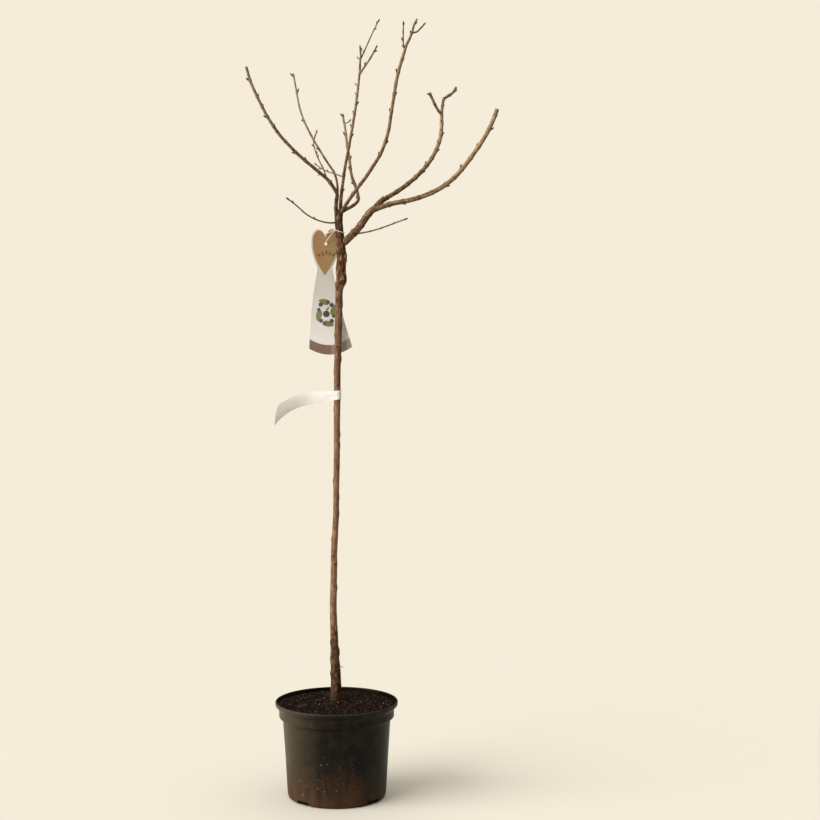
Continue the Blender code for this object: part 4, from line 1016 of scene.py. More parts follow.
def layOutLimbs():
    paths = {"trunk": stemPath()}
    points, radii = paths["trunk"]
    addStrand("trunk", points, radii, [], 1.25 * mm, 0.0, kink=False)
    grownOn = {mass["on"]: mass for mass in twigMasses.values() if "at" not in mass}
    for order, (name, bough) in enumerate(boughs.items()):
        foot, _ = pointAlong(paths[bough["on"]], bough["at"])
        paths[name] = limbPath(foot, bough, ringStep)
        points, radii = paths[name]
        if name in grownOn:
            # runs on inside its twigs and thins out there
            ahead = toward(grownOn[name]["leans"][0], grownOn[name]["headings"][0])
            points = points + [points[-1] + ahead * 5 * mm, points[-1] + ahead * 9 * mm]
            radii = radii + [radii[-1] * 0.85, radii[-1] * 0.5]
        shape = addStrand("bough", points, radii, bough["buds"], 1.5 * mm, order + 1.0,
                          cut=bough.get("cut", False), age=bough.get("age", (0.9, 0.1)),
                          shade=bough.get("shade", 0.0), neck=0.4 if bough["on"] == "trunk" else 0.0)
        addBuds("bough", *shape, bough["buds"])
        addSpurs("bough", paths[name], bough.get("spurs", []), order + 1.5)
    for order, (name, mass) in enumerate(twigMasses.items()):
        if "at" in mass:
            foot, _ = pointAlong(paths[mass["on"]], mass["at"])
        else:
            tip, way = pointAlong(paths[mass["on"]], -0.01 * mm)
            foot = tip + way * 1.5 * limbGap
        paths[name] = limbPath(foot, mass, twigStep)
        shoots = [(mass, paths[name])]
        for arm in mass["arms"]:
            foot, _ = pointAlong(paths[name], arm["at"])
            shoots.append((arm, limbPath(foot, arm, twigStep)))
        for index, (shoot, path) in enumerate(shoots):
            own = 20.0 + order * 3 + index
            points, radii = path
            places, age = shoot["buds"], mass.get("age", (1.1, 0.8) if shoot.get("cut") else (0.3, 0.0))
            if index == 0 and "at" not in mass:
                # grows out of the bough's tip with no break
                back = (points[1] - points[0]).normalized() * mm
                points = [points[0] - back * 5, points[0] - back * 2] + points
                radii = [radii[0] * 0.74, radii[0] * 0.9] + radii
                places, age = [(at + 5, turn, size) for at, turn, size in places], (1.15, -0.2)
            shape = addStrand("twig", points, radii, places, 1.2 * mm, own, cut=shoot.get("cut", False),
                              age=age, shade=mass.get("shade", 0.0))
            addBuds("twig", *shape, places)
            addSpurs("twig", path, shoot.get("spurs", []), own + 0.5)
            if not shoot.get("cut"):
                addTipBud(shape[0], shoot.get("tip", twigWood["tipBud"]))
    for order, stub in enumerate(stubs):
        root, _ = pointAlong(paths[stub["on"]], stub["at"])
        way = toward(stub["lean"], stub["heading"])
        count = 5
        points = [root + way * stub["length"] * i / (count - 1) for i in range(count)]
        if stub["girth"] < 3:
            # the dead spur droops and thins
            points = [p + Vector((0, 0, 1.2 * mm * math.sin(i * 1.1))) for i, p in enumerate(points)]
        shrink = 0.55 if stub["girth"] < 3 else 0.93
        radii = [stub["girth"] / 2 * mm * (1 + (shrink - 1) * i / (count - 1)) for i in range(count)]
        kind = {"trunk": "trunk", "twigs_right": "twig"}.get(stub["on"], "bough")
        shape = addStrand(kind, points, radii, stub["buds"], 1.0 * mm, 50.0 + order,
                          cut=stub["girth"] < 5, age=(1, 1), kink=False)
        addBuds(kind, *shape, stub["buds"])


def strandObject(name, lines):
    # open lines with what the skin tree reads on each point
    vertices = np.vstack([line["points"] for line in lines])
    edges, start = [], 0
    for line in lines:
        count = len(line["points"])
        edges += [(start + i, start + i + 1) for i in range(count - 1)]
        start += count
    obj = meshObject(name, vertices, [], edges)
    for key in ("radius", "along", "dark", "cut", "rough", "old"):
        # the name radius belongs to curves and is lost on the skin
        label = "girth" if key == "radius" else key
        setAttribute(obj, label, np.concatenate([line[key] for line in lines]))
    setAttribute(obj, "own", np.concatenate([np.full(len(line["points"]), line["own"]) for line in lines]))
    return obj


def skinTree():
    # bark round the lines: upright ridges, lumps and cracks in the limb's own coordinates
    tree, given, out = newTree("barkSkin", {
        "Sides": "Int", "Ridge Depth": "Float", "Ridge Width": "Float", "Lump Depth": "Float",
        "Lump Width": "Float", "Crack Depth": "Float", "Crack Width": "Float", "Bark": "Material"})
    reads = {}
    for key in ("rim", "girth", "own", "along", "rough"):
        settings = {"data_type": "FLOAT_VECTOR" if key == "rim" else "FLOAT", "Name": key}
        reads[key] = addNode(tree, "GeometryNodeInputNamedAttribute", settings).outputs["Attribute"]
    lines = addNode(tree, "GeometryNodeMeshToCurve", None, {0: given["Geometry"]})
    circle = addNode(tree, "GeometryNodeCurvePrimitiveCircle", {"Radius": 1.0},
                     {"Resolution": given["Sides"]})
    rim = addNode(tree, "GeometryNodeStoreNamedAttribute", {"data_type": "FLOAT_VECTOR", "Name": "rim"},
                  {"Geometry": circle, "Value": addNode(tree, "GeometryNodeInputPosition")})
    tube = addNode(tree, "GeometryNodeCurveToMesh", {"Fill Caps": True},
                   {"Curve": lines, "Profile Curve": rim, "Scale": reads["girth"]})
    # each limb reads its own stretch of the pattern
    flat = addNode(tree, "ShaderNodeVectorMath", {"operation": "SCALE"},
                   {0: reads["rim"], "Scale": reads["girth"]})
    shift = addNode(tree, "ShaderNodeMath", {"operation": "MULTIPLY_ADD", 1: 0.29},
                    {0: reads["own"], 2: reads["along"]})
    upright = addNode(tree, "ShaderNodeCombineXYZ", None, {2: shift})
    space = addNode(tree, "ShaderNodeVectorMath", {"operation": "ADD"}, {0: flat, 1: upright})
    mapped = addNode(tree, "GeometryNodeStoreNamedAttribute",
                     {"data_type": "FLOAT_VECTOR", "Name": "barkSpace"},
                     {"Geometry": tube, "Value": space})
    waves = {}
    for key, stretch in (("Ridge", 0.14), ("Lump", 0.45), ("Crack", 0.3)):
        # noise from -1 to 1 with features of the given width
        squeezed = addNode(tree, "ShaderNodeVectorMath", {"operation": "MULTIPLY", 1: (1, 1, stretch)},
                           {0: space})
        perMetre = addNode(tree, "ShaderNodeMath", {"operation": "DIVIDE", 0: 1.0},
                           {1: given[key + " Width"]})
        field = addNode(tree, "ShaderNodeTexNoise", {"Detail": 3.0, "Roughness": 0.55},
                        {"Vector": squeezed, "Scale": perMetre})
        waves[key] = addNode(tree, "ShaderNodeMath", {"operation": "MULTIPLY_ADD", 1: 2.0, 2: -1.0},
                             {0: field})
    near = addNode(tree, "ShaderNodeMath", {"operation": "ABSOLUTE"}, {0: waves["Crack"]})
    line = addNode(tree, "ShaderNodeMapRange", {"From Max": 0.16, "To Min": 1.0, "To Max": 0.0},
                   {"Value": near})
    flaky = addNode(tree, "ShaderNodeClamp", None, {0: reads["rough"]})
    crack = addNode(tree, "ShaderNodeMath", {"operation": "MULTIPLY"}, {0: line, 1: flaky})
    marked = addNode(tree, "GeometryNodeStoreNamedAttribute", {"data_type": "FLOAT", "Name": "crack"},
                     {"Geometry": mapped, "Value": crack})
    ridges = addNode(tree, "ShaderNodeMath", {"operation": "MULTIPLY"},
                     {0: waves["Ridge"], 1: given["Ridge Depth"]})
    lumps = addNode(tree, "ShaderNodeMath", {"operation": "MULTIPLY"},
                    {0: waves["Lump"], 1: given["Lump Depth"]})
    raised = addNode(tree, "ShaderNodeMath", {"operation": "ADD"}, {0: ridges, 1: lumps})
    rough = addNode(tree, "ShaderNodeMath", {"operation": "MULTIPLY"}, {0: raised, 1: reads["rough"]})
    sunk = addNode(tree, "ShaderNodeMath", {"operation": "MULTIPLY"}, {0: crack, 1: given["Crack Depth"]})
    total = addNode(tree, "ShaderNodeMath", {"operation": "SUBTRACT"}, {0: rough, 1: sunk})
    push = addNode(tree, "ShaderNodeVectorMath", {"operation": "SCALE"},
                   {0: addNode(tree, "GeometryNodeInputNormal"), "Scale": total})
    moved = addNode(tree, "GeometryNodeSetPosition", None, {"Geometry": marked, "Offset": push})
    endTree(tree, moved, given["Bark"], out)
    return tree


# bark: shades run from dark to light; node is the dark mixed in at nodes, knots, stains and painted shade;
# streak, mottle and plate are how wide those patterns are
barks = {
    # thin grey-brown bark: smooth and streaky, flaking on the old foot and the graft
    "trunk": dict(
        material="gooseberryBark", piece="trunkBark", slot="stem_bark", nodes=["trunk"],
        young=("#452e1e", "#694b36", "#8e6e57", "#b3967c"), old=("#29190b", "#583a20", "#8a633f", "#c4a17c"),
        node="#24160b", crack="#1c1109", wood="#b79c74",
        streak=1.0 * mm, mottle=8 * mm, plate=3.6 * mm, roughness=0.7,
        skin={"Sides": 60, "Ridge Depth": 0.34 * mm, "Ridge Width": 2.4 * mm, "Lump Depth": 0.75 * mm,
              "Lump Width": 7 * mm, "Crack Depth": 0.55 * mm, "Crack Width": 5.5 * mm}),
    # two and three year old wood: tight beige-brown bark with dark rings at the nodes
    "bough": dict(
        material="youngBark", piece="boughBark", slot="bough_bark", nodes=list(boughs),
        young=("#644f37", "#8b7658", "#ab9776", "#c7b393"), old=("#472d18", "#705134", "#90704e", "#ae8e6c"),
        node="#2b1c12", crack="#2e1d10", wood="#c9ad82",
        streak=0.7 * mm, mottle=5 * mm, plate=2.6 * mm, roughness=0.64,
        skin={"Sides": 26, "Ridge Depth": 0.11 * mm, "Ridge Width": 1.2 * mm, "Lump Depth": 0.2 * mm,
              "Lump Width": 4 * mm, "Crack Depth": 0.10 * mm, "Crack Width": 3 * mm}),
    # last summer's shoots: smooth olive-brown skin that peels in fine threads
    "twig": dict(
        material="greenwoodBark", piece="twigBark", slot="twigs", nodes=list(twigMasses),
        young=("#4d402b", "#76654a", "#978360", "#b0a07c"), old=("#644f37", "#8b7658", "#ab9776", "#c7b393"),
        node="#261a11", crack="#30241a", wood="#cbb188",
        streak=0.5 * mm, mottle=4 * mm, plate=2.0 * mm, roughness=0.6,
        skin={"Sides": 16, "Ridge Depth": 0.05 * mm, "Ridge Width": 0.8 * mm, "Lump Depth": 0.09 * mm,
              "Lump Width": 3 * mm, "Crack Depth": 0.03 * mm, "Crack Width": 2 * mm}),
}


def barkMaterial(bark):
    # every pattern lies in the limb's own coordinates, so that it follows each bend
    name, roughness = bark["material"], bark["roughness"]
    material, tree, shader = newMaterial(name, roughness, IOR=1.45, Specular_IOR_Level=0.3)
    space = addNode(tree, "ShaderNodeAttribute", {"attribute_name": "barkSpace"}).outputs["Vector"]
    reads = {key: addNode(tree, "ShaderNodeAttribute", {"attribute_name": key}).outputs["Fac"]
             for key in ("crack", "dark", "cut", "old")}
    # streaks along the limb, mottled patches and a fine grain: per metre, stretch, detail, roughness
    noises = []
    for scale, stretch, detail, roughness in (
            (1 / bark["streak"], 0.07, 5, 0.6), (1 / bark["mottle"], 0.45, 6, 0.65),
            (3.2 / bark["streak"], 0.3, 3, 0.7)):
        drawn = addNode(tree, "ShaderNodeMapping", {"Scale": (1, 1, stretch)}, {"Vector": space})
        settings = {"Scale": scale, "Detail": detail, "Roughness": roughness}
        noises.append(addNode(tree, "ShaderNodeTexNoise", settings, {"Vector": drawn}))
    streaks, patches, grain = noises
    fine = addNode(tree, "ShaderNodeMix", {"data_type": "RGBA", 0: 0.45}, {6: streaks, 7: grain}).outputs[2]
    share = addNode(tree, "ShaderNodeMix", {"data_type": "RGBA", 0: 0.38}, {6: fine, 7: patches}).outputs[2]
    span = addNode(tree, "ShaderNodeMapRange", {"From Min": 0.36, "From Max": 0.64}, {"Value": share})
    # old bark splits into plates, each weathered a little otherwise
    plate = bark["plate"]
    blur = addNode(tree, "ShaderNodeTexNoise", {"Scale": 0.6 / plate}, {"Vector": space}).outputs["Color"]
    warp = addNode(tree, "ShaderNodeVectorMath", {"operation": "MULTIPLY_ADD", 1: (plate * 0.7,) * 3},
                   {0: blur, 2: space})
    long = addNode(tree, "ShaderNodeMapping", {"Scale": (1, 1, 0.4)}, {"Vector": warp})
    plates = addNode(tree, "ShaderNodeTexVoronoi", {"Scale": 1 / plate}, {"Vector": long})
    chance = addNode(tree, "ShaderNodeSeparateColor", None, {0: plates.outputs["Color"]})
    weathered = addNode(tree, "ShaderNodeMix", {"data_type": "RGBA", 0: 0.6}, {6: span, 7: chance}).outputs[2]
    skins = []
    for shades, tone in ((bark["young"], span), (bark["old"], weathered)):
        stops = [(i / (len(shades) - 1), code) for i, code in enumerate(shades)]
        skins.append(addNode(tree, "ShaderNodeValToRGB", {"stops": stops}, {"Fac": tone}))
    seam = addNode(tree, "ShaderNodeMapRange", {"From Min": 0.42, "From Max": 0.7, "To Max": 0.55},
                   {"Value": plates})
    skins[1] = addNode(tree, "ShaderNodeMix", {"data_type": "RGBA", 7: bark["crack"]},
                       {0: seam, 6: skins[1]}).outputs[2]
    ragged = addNode(tree, "ShaderNodeMath", {"operation": "MULTIPLY_ADD", 1: 1.9, 2: -0.95}, {0: patches})
    aged = addNode(tree, "ShaderNodeMath", {"operation": "ADD"}, {0: reads["old"], 1: ragged})
    aged = addNode(tree, "ShaderNodeMapRange", {"From Min": 0.38, "From Max": 0.62}, {"Value": aged})
    colour = addNode(tree, "ShaderNodeMix", {"data_type": "RGBA"},
                     {0: aged, 6: skins[0], 7: skins[1]}).outputs[2]
    # lenticels: a few small corky dots
    squat = addNode(tree, "ShaderNodeMapping", {"Scale": (1, 1, 1.6)}, {"Vector": space})
    reads["dot"] = addNode(tree, "ShaderNodeTexVoronoi", {"Scale": 260.0}, {"Vector": squat})
    reads["rare"] = addNode(tree, "ShaderNodeSeparateColor", None,
                            {0: reads["dot"].outputs["Color"]}).outputs[1]
    fades = {}
    for key, low, high, first, last in (
            ("crack", 0.15, 1.0, 0.0, 0.6), ("dark", 0.1, 0.9, 0.0, 0.85), ("cut", 0.5, 0.9, 0.0, 1.0),
            ("dot", 0.06, 0.14, 0.45, 0.0), ("rare", 0.6, 0.62, 0.0, 1.0)):
        settings = {"From Min": low, "From Max": high, "To Min": first, "To Max": last}
        fades[key] = addNode(tree, "ShaderNodeMapRange", settings, {"Value": reads[key]})
    corky = addNode(tree, "ShaderNodeMath", {"operation": "MULTIPLY"}, {0: fades["dot"], 1: fades["rare"]})
    # the dark attribute brings in the node colour: dark rings at the nodes, knot eyes and stains, and painted
    # shade in the crotches, on the low twigs and where the stake and the tie shade the stem
    for amount, shade in ((fades["crack"], bark["crack"]), (fades["dark"], bark["node"]),
                          (corky, bark["young"][-1]), (fades["cut"], bark["wood"])):
        colour = addNode(tree, "ShaderNodeMix", {"data_type": "RGBA", 7: shade},
                         {0: amount, 6: colour}).outputs[2]
    tight = addNode(tree, "ShaderNodeMix", {"data_type": "RGBA", 0: 0.5}, {6: streaks, 7: grain}).outputs[2]
    split = addNode(tree, "ShaderNodeMix", {"data_type": "RGBA", 0: 0.5}, {6: plates, 7: grain}).outputs[2]
    relief = addNode(tree, "ShaderNodeMix", {"data_type": "RGBA"}, {0: aged, 6: tight, 7: split}).outputs[2]
    endMaterial(tree, shader, colour, relief, 0.35 * mm, 0.6)
    return material


def displaced(obj, bumps):
    # knots: a raised rim round a sunken dark eye; bumps are place, width and height in metres
    count = len(obj.data.vertices)
    place = np.zeros(count * 3, np.float32)
    obj.data.vertices.foreach_get("co", place)
    place = place.reshape(-1, 3).astype(float)
    normal = np.zeros(count * 3, np.float32)
    obj.data.vertices.foreach_get("normal", normal)
    normal = normal.reshape(-1, 3).astype(float)
    dark = np.zeros(count, np.float32)
    obj.data.attributes["dark"].data.foreach_get("value", dark)
    for spot, width, height in bumps:
        away = place - np.array(spot)
        away[:, 2] *= 0.75
        reach = (away ** 2).sum(1) / width ** 2
        near = reach < 6
        eye = reach[near]
        lift = height * (1.25 * np.exp(-eye) - 0.8 * np.exp(-eye * 7))
        place[near] += normal[near] * lift[:, None]
        dark[near] = np.clip(dark[near] + 0.9 * np.exp(-eye * 5), 0, 1)
    obj.data.vertices.foreach_set("co", place.astype(np.float32).ravel())
    obj.data.attributes["dark"].data.foreach_set("value", dark)
    obj.data.update()


def ageTrunk():
    # the foot and the graft are old and rough, and knots stand all the way up
    main = strands["trunk"][0]
    rise = main["along"] / mm
    low, high = stem["rough"]
    a, b, c, d = stem["graft"]
    old = 1 - eased(low, high, rise)
    graft = eased(a, b, rise) * (1 - eased(c, d, rise))
    crotch = eased(*stem["crotch"], rise)
    main["rough"] = np.clip(0.34 + 0.9 * old + 1.0 * graft, 0, 1.25)
    main["old"] = np.clip(old + 0.85 * graft + crotch, 0, 1)
    # stained by splashes at the foot; painted shadow of the stake under the graft, and painted shadow of the
    # tie at the top (stake and tie are not built)
    for begin, full, until, end, amount in stem["zones"]:
        main["dark"] += amount * eased(begin, full, rise) * (1 - eased(until, end, rise))
    # the foot spreads a little, and the top closes in a dome under the crotch
    wider, reach = stem["flare"]
    main["radius"] += wider * mm * np.exp(-rise / reach)
    start, reach = stem["dome"]
    main["radius"] *= np.sqrt(np.clip(1 - np.clip((rise - start) / reach, 0, 1) ** 2, 0.02, 1))
    for up, turn, width, height in stem["knots"]:
        sway, radius = stemAt(up * mm)
        out = sideways(Vector((0, 0, 1)), turn)
        spot = Vector((sway, stemBack(up * mm), stemFoot[2] + up * mm)) + out * radius
        scars["trunk"].append((spot, width * mm, height * mm))


def makeBarks():
    skin = skinTree()
    for kind, bark in barks.items():
        lines = strandObject(bark["piece"], strands[kind])
        runTree(lines, skin, {**bark["skin"], "Bark": barkMaterial(bark)})
        displaced(lines, scars[kind])
        finishPiece(lines, bark["slot"], *bark["nodes"])


# Buds: pointed, with overlapping scales, on a small shelf left by the leaf

def budShape():
    bm = bmesh.new()
    sides = 8
    # height and radius as shares of the length and half the girth; each step is the edge of a scale
    rings = [(-0.16, 0.30), (-0.05, 0.72), (0.10, 0.94), (0.22, 0.88), (0.26, 1.0),
             (0.45, 0.86), (0.50, 0.90), (0.70, 0.55), (0.88, 0.24)]
    grid = []
    for height, radius in rings:
        ring = []
        for side in range(sides):
            angle = 2 * math.pi * side / sides
            scale = 1 + 0.07 * math.cos(3 * angle + height * 6)
            x = radius * scale * math.cos(angle) - 0.22 * height * height    # its tip leans in to the shoot
            ring.append(bm.verts.new((x, radius * scale * 0.92 * math.sin(angle), height)))
        grid.append(ring)
    for low, high in zip(grid, grid[1:]):
        for side in range(sides):
            bm.faces.new((low[side - 1], low[side], high[side], high[side - 1]))
    tip = bm.verts.new((-0.24, 0, 1.0))
    root = bm.verts.new((0, 0, -0.2))
    for side in range(sides):
        bm.faces.new((grid[-1][side - 1], grid[-1][side], tip))
        bm.faces.new((grid[0][side], grid[0][side - 1], root))
    # the leaf scar's shelf, on the outer side of the foot
    shelf = bmesh.ops.create_icosphere(bm, subdivisions=1, radius=1.0)
    for vertex in shelf["verts"]:
        vertex.co = Vector((0.55 + vertex.co.x * 0.5, vertex.co.y * 0.72, -0.17 + vertex.co.z * 0.13))
    bmesh.ops.recalc_face_normals(bm, faces=bm.faces)
    mesh = bpy.data.meshes.new("budShape")
    bm.to_mesh(mesh)
    bm.free()
    height = np.zeros(len(mesh.vertices) * 3)
    mesh.vertices.foreach_get("co", height)
    attribute = mesh.attributes.new("budHeight", "FLOAT", "POINT")
    attribute.data.foreach_set("value", height.reshape(-1, 3)[:, 2].astype(np.float32))
    return bpy.data.objects.new("budShape", mesh)


def budTree():
    # sets the bud shape on every point, along its axis and turned to its outer side
    tree, given, out = newTree("budding", {
        "Bud": "Object", "Length": "Float", "Girth": "Float", "Scales": "Material"})
    reads = {}
    for key in ("size", "axis", "out"):
        settings = {"data_type": "FLOAT" if key == "size" else "FLOAT_VECTOR", "Name": key}
        reads[key] = addNode(tree, "GeometryNodeInputNamedAttribute", settings).outputs["Attribute"]
    shape = addNode(tree, "GeometryNodeObjectInfo", None, {"Object": given["Bud"]}).outputs["Geometry"]
    half = addNode(tree, "ShaderNodeMath", {"operation": "MULTIPLY", 1: 0.5}, {0: given["Girth"]})
    size = addNode(tree, "ShaderNodeCombineXYZ", None, {0: half, 1: half, 2: given["Length"]})
    scale = addNode(tree, "ShaderNodeVectorMath", {"operation": "SCALE"}, {0: size, "Scale": reads["size"]})
    turn = addNode(tree, "FunctionNodeAxesToRotation", {"primary_axis": "Z", "secondary_axis": "X"},
                   {"Primary Axis": reads["axis"], "Secondary Axis": reads["out"]})
    points = addNode(tree, "GeometryNodeMeshToPoints", None, {"Mesh": given["Geometry"]})
    placed = addNode(tree, "GeometryNodeInstanceOnPoints", None, {
        "Points": points, "Instance": shape, "Rotation": turn, "Scale": scale})
    endTree(tree, placed, given["Scales"], out)
    return tree


def budScales():
    # dry papery scales: dark brown, a little lighter in the middle and nearly black at the point
    material, tree, shader = newMaterial("budScales", 0.6, IOR=1.45, Specular_IOR_Level=0.35)
    height = addNode(tree, "ShaderNodeAttribute", {"attribute_name": "budHeight"}).outputs["Fac"]
    tone = addNode(tree, "ShaderNodeAttribute", {"attribute_name": "tone"}).outputs["Fac"]
    share = addNode(tree, "ShaderNodeMapRange", {"From Min": -0.2}, {"Value": height})
    stops = [(0.0, "#1c120b"), (0.14, "#2d1e13"), (0.3, "#583e2a"), (0.62, "#452d1f"), (1.0, "#1e120b")]
    body = addNode(tree, "ShaderNodeValToRGB", {"stops": stops}, {"Fac": share})
    pale = addNode(tree, "ShaderNodeMapRange", {"To Max": 0.3}, {"Value": tone})
    colour = addNode(tree, "ShaderNodeMix", {"data_type": "RGBA", 7: "#80644a"},
                     {0: pale, 6: body}).outputs[2]
    place = addNode(tree, "ShaderNodeTexCoord").outputs["Object"]
    grain = addNode(tree, "ShaderNodeTexNoise", {"Scale": 2500, "Detail": 2, "Roughness": 0.55},
                    {"Vector": place})
    endMaterial(tree, shader, colour, grain, 0.08 * mm, 0.5)
    return material


def makeBuds():
    points = meshObject("buds", [bud[0] for bud in budList], [])
    setAttribute(points, "axis", [tuple(bud[1]) for bud in budList], "FLOAT_VECTOR")
    setAttribute(points, "out", [tuple(bud[2]) for bud in budList], "FLOAT_VECTOR")
    setAttribute(points, "size", [bud[3] for bud in budList])
    setAttribute(points, "tone", [bud[4] for bud in budList])
    runTree(points, budTree(), {
        "Bud": budShape(), "Length": twigWood["budLength"], "Girth": twigWood["budGirth"],
        "Scales": budScales()})
    finishPiece(points, "twigs")


# Hang tag: a card with a heart-shaped head and a flared skirt

tag = {
    "thickness": 0.8 * mm,
    "heart": (25.4 * mm, 65 * mm),       # half width, and depth under the shoulders
    "taper": 1.76,                       # how full the heart's sides are before they run in
    "fieldDepth": 57.5 * mm,             # the printed heart ends in a point this far under the shoulders
    "shoulder": 197 * mm,
    "lobe": (13.2 * mm, 24 * mm),
    "skirt": 38 * mm,
    "waist": 13.5 * mm,
    "waistHeight": 150 * mm,
    "sag": 12 * mm,
    "bow": 5 * mm,
    "hole": Vector((-17.3, 24.2, 982.6)) * mm,
    "holeRadius": 2.4 * mm,
    "holeHeight": 195 * mm,
    "swing": 2.5,
    "curl": 0.9 * mm,                    # the card's edges stand this far forward
    "ink": 0.08 * mm,                    # the print stands this far off the card
    "band": 17 * mm,                     # height of the lower band
    "inset": 2.3 * mm,                   # from the edge to the heart's field
    "cell": 5 * mm,                      # grid on which the card can bend
    "wreathAt": (-5 * mm, -121 * mm),    # its middle, from under the hole
    "wreathSize": (13.5 * mm, 20 * mm),  # half its width and height
    "wreathLeaf": 20 * mm,
    "berries": (3.8 * mm, 3.1 * mm, 5.8 * mm),   # radii of two small ones and the one in the middle
    "sprayLeaf": 8 * mm,
    "card": ("#c1bebb", "#e6e8e8"),
    "field": ("#9f774d", "#9b835e"),
    # the band's second, lighter shade right of the stem: partly print, partly painted light against the
    # stem's cast shadow
    "bandInkAndLight": ("#725a4b", "#b0a498"),
    "leafInk": ("#66774a", "#7a8c5c"),
    "berryInk": ("#4f4048", "#6a5862"),
    "lineInk": ("#70522f",),
}


def tagHalfWidth(height):
    share = min(1.0, (height - tag["sag"]) / (tag["waistHeight"] - tag["sag"]))
    skirt = tag["skirt"] + (tag["waist"] - tag["skirt"]) * share
    rise = max(0.0, 1.0 - (tag["shoulder"] - height) / tag["heart"][1])
    return max(skirt, tag["heart"][0] * (1 - (1 - rise) ** tag["taper"]))


def heartTop(inset, count):
    # over the right lobe to the notch
    half, rise = tag["lobe"][0] - inset / 2, tag["lobe"][1] - inset
    middle = tag["heart"][0] - inset - half
    notchTurn = math.acos(-middle / half)
    turns = [notchTurn * index / count for index in range(count + 1)]
    return [(middle + half * math.cos(t), tag["shoulder"] + rise * math.sin(t)) for t in turns]


def bowed(outline):
    # the card's middle line bends to the left below its hole
    out = []
    for x, y in outline:
        share = min(1.0, max(0.0, (y - tag["sag"]) / (tag["holeHeight"] - tag["sag"])))
        out.append((x - tag["bow"] * math.sin(math.pi * share), y))
    return out


def skirtFoot():
    # the card's curved lower edge, from left to right
    count = 24
    return [(-tag["skirt"] + 2 * tag["skirt"] * i / count, tag["sag"] * (2 * i / count - 1) ** 2)
            for i in range(count + 1)]


def cardOutline():
    side = [tag["sag"] + (tag["shoulder"] - tag["sag"]) * i / 56 for i in range(56)]
    right = [(tagHalfWidth(y), y) for y in side] + heartTop(0, 20)
    left = [(-x, y) for x, y in right[::-1]][1:-1]
    return bowed(skirtFoot()[:-1] + right + left)


def heartOutline():
    foot = tag["shoulder"] - tag["fieldDepth"]
    half = tag["heart"][0] - tag["inset"]
    # nearly straight sides that meet in a point
    side = [((i / 30), foot + (tag["shoulder"] - foot) * i / 30) for i in range(30)]
    right = [(half * (1 - (1 - share) ** tag["taper"]), y) for share, y in side] + heartTop(tag["inset"], 18)
    left = [(-x, y) for x, y in right[::-1]][1:-1]
    return bowed(right + left)


def bandOutline():
    low = skirtFoot()
    share = tag["band"] / (tag["waistHeight"] - tag["sag"])
    narrow = 1 + (tag["waist"] / tag["skirt"] - 1) * share
    return bowed(low + [(x * narrow, y + tag["band"]) for x, y in low[::-1]])


def leafOutline(x, y, length, turn, width=0.42):
    # a pointed oval
    out = []
    for index in range(16):
        t = 2 * math.pi * index / 16
        along, across = math.cos(t) * length / 2, math.sin(t) * length * width / 2 * (1 - 0.25 * math.cos(t))
        c, s = math.cos(math.radians(turn)), math.sin(math.radians(turn))
        out.append((x + along * c - across * s, y + along * s + across * c))
    return out


def discOutline(x, y, radius, count=18):
    return [(x + radius * math.cos(2 * math.pi * i / count), y + radius * math.sin(2 * math.pi * i / count))
            for i in range(count)]


def cardSheet(name, outlines, thickness, forward, material):
    # flat outlines filled, cut on a grid, bent with the card and hung in its place
    curve = bpy.data.curves.new(name, "CURVE")
    curve.dimensions = "2D"
    curve.fill_mode = "BOTH"
    curve.extrude = thickness / 2
    for outline in outlines:
        spline = curve.splines.new("POLY")
        spline.points.add(len(outline) - 1)
        spline.use_cyclic_u = True
        for knot, (x, y) in zip(spline.points, outline):
            knot.co = (x, y - tag["holeHeight"], 0.0, 1.0)
    mesh = curveMesh(curve)
    bm = bmesh.new()
    bm.from_mesh(mesh)
    bmesh.ops.remove_doubles(bm, verts=bm.verts, dist=0.01 * mm)
    cell, reach = tag["cell"], 0.26
    for axis in ((1, 0, 0), (0, 1, 0)):
        for step in range(-int(reach / cell), int(reach / cell) + 1):
            geometry = bm.verts[:] + bm.edges[:] + bm.faces[:]
            bmesh.ops.bisect_plane(bm, geom=geometry, plane_co=Vector(axis) * cell * step, plane_no=axis)
    swing = math.radians(tag["swing"])
    for vertex in bm.verts:
        x, y, z = vertex.co
        across = x / tag["skirt"]
        bend = tag["curl"] * (across ** 2 - 0.35) + 0.5 * mm * math.sin(y / (60 * mm)) * across
        near = min(1.0, math.hypot(x, y) / (25 * mm))
        depth = -z - forward - bend * near
        # swings about the hole; seen from the front, its foot goes to the right
        vertex.co = tag["hole"] + Vector((x * math.cos(swing) - y * math.sin(swing), depth,
                                          x * math.sin(swing) + y * math.cos(swing)))
    bmesh.ops.recalc_face_normals(bm, faces=bm.faces)
    bm.to_mesh(mesh)
    bm.free()
    obj = bpy.data.objects.new(name, mesh)
    bpy.context.scene.collection.objects.link(obj)
    mesh.materials.clear()
    mesh.materials.append(material)
    mesh.shade_smooth()
    mesh.set_sharp_from_angle(angle=math.radians(50))
    mesh.name = name
    return obj


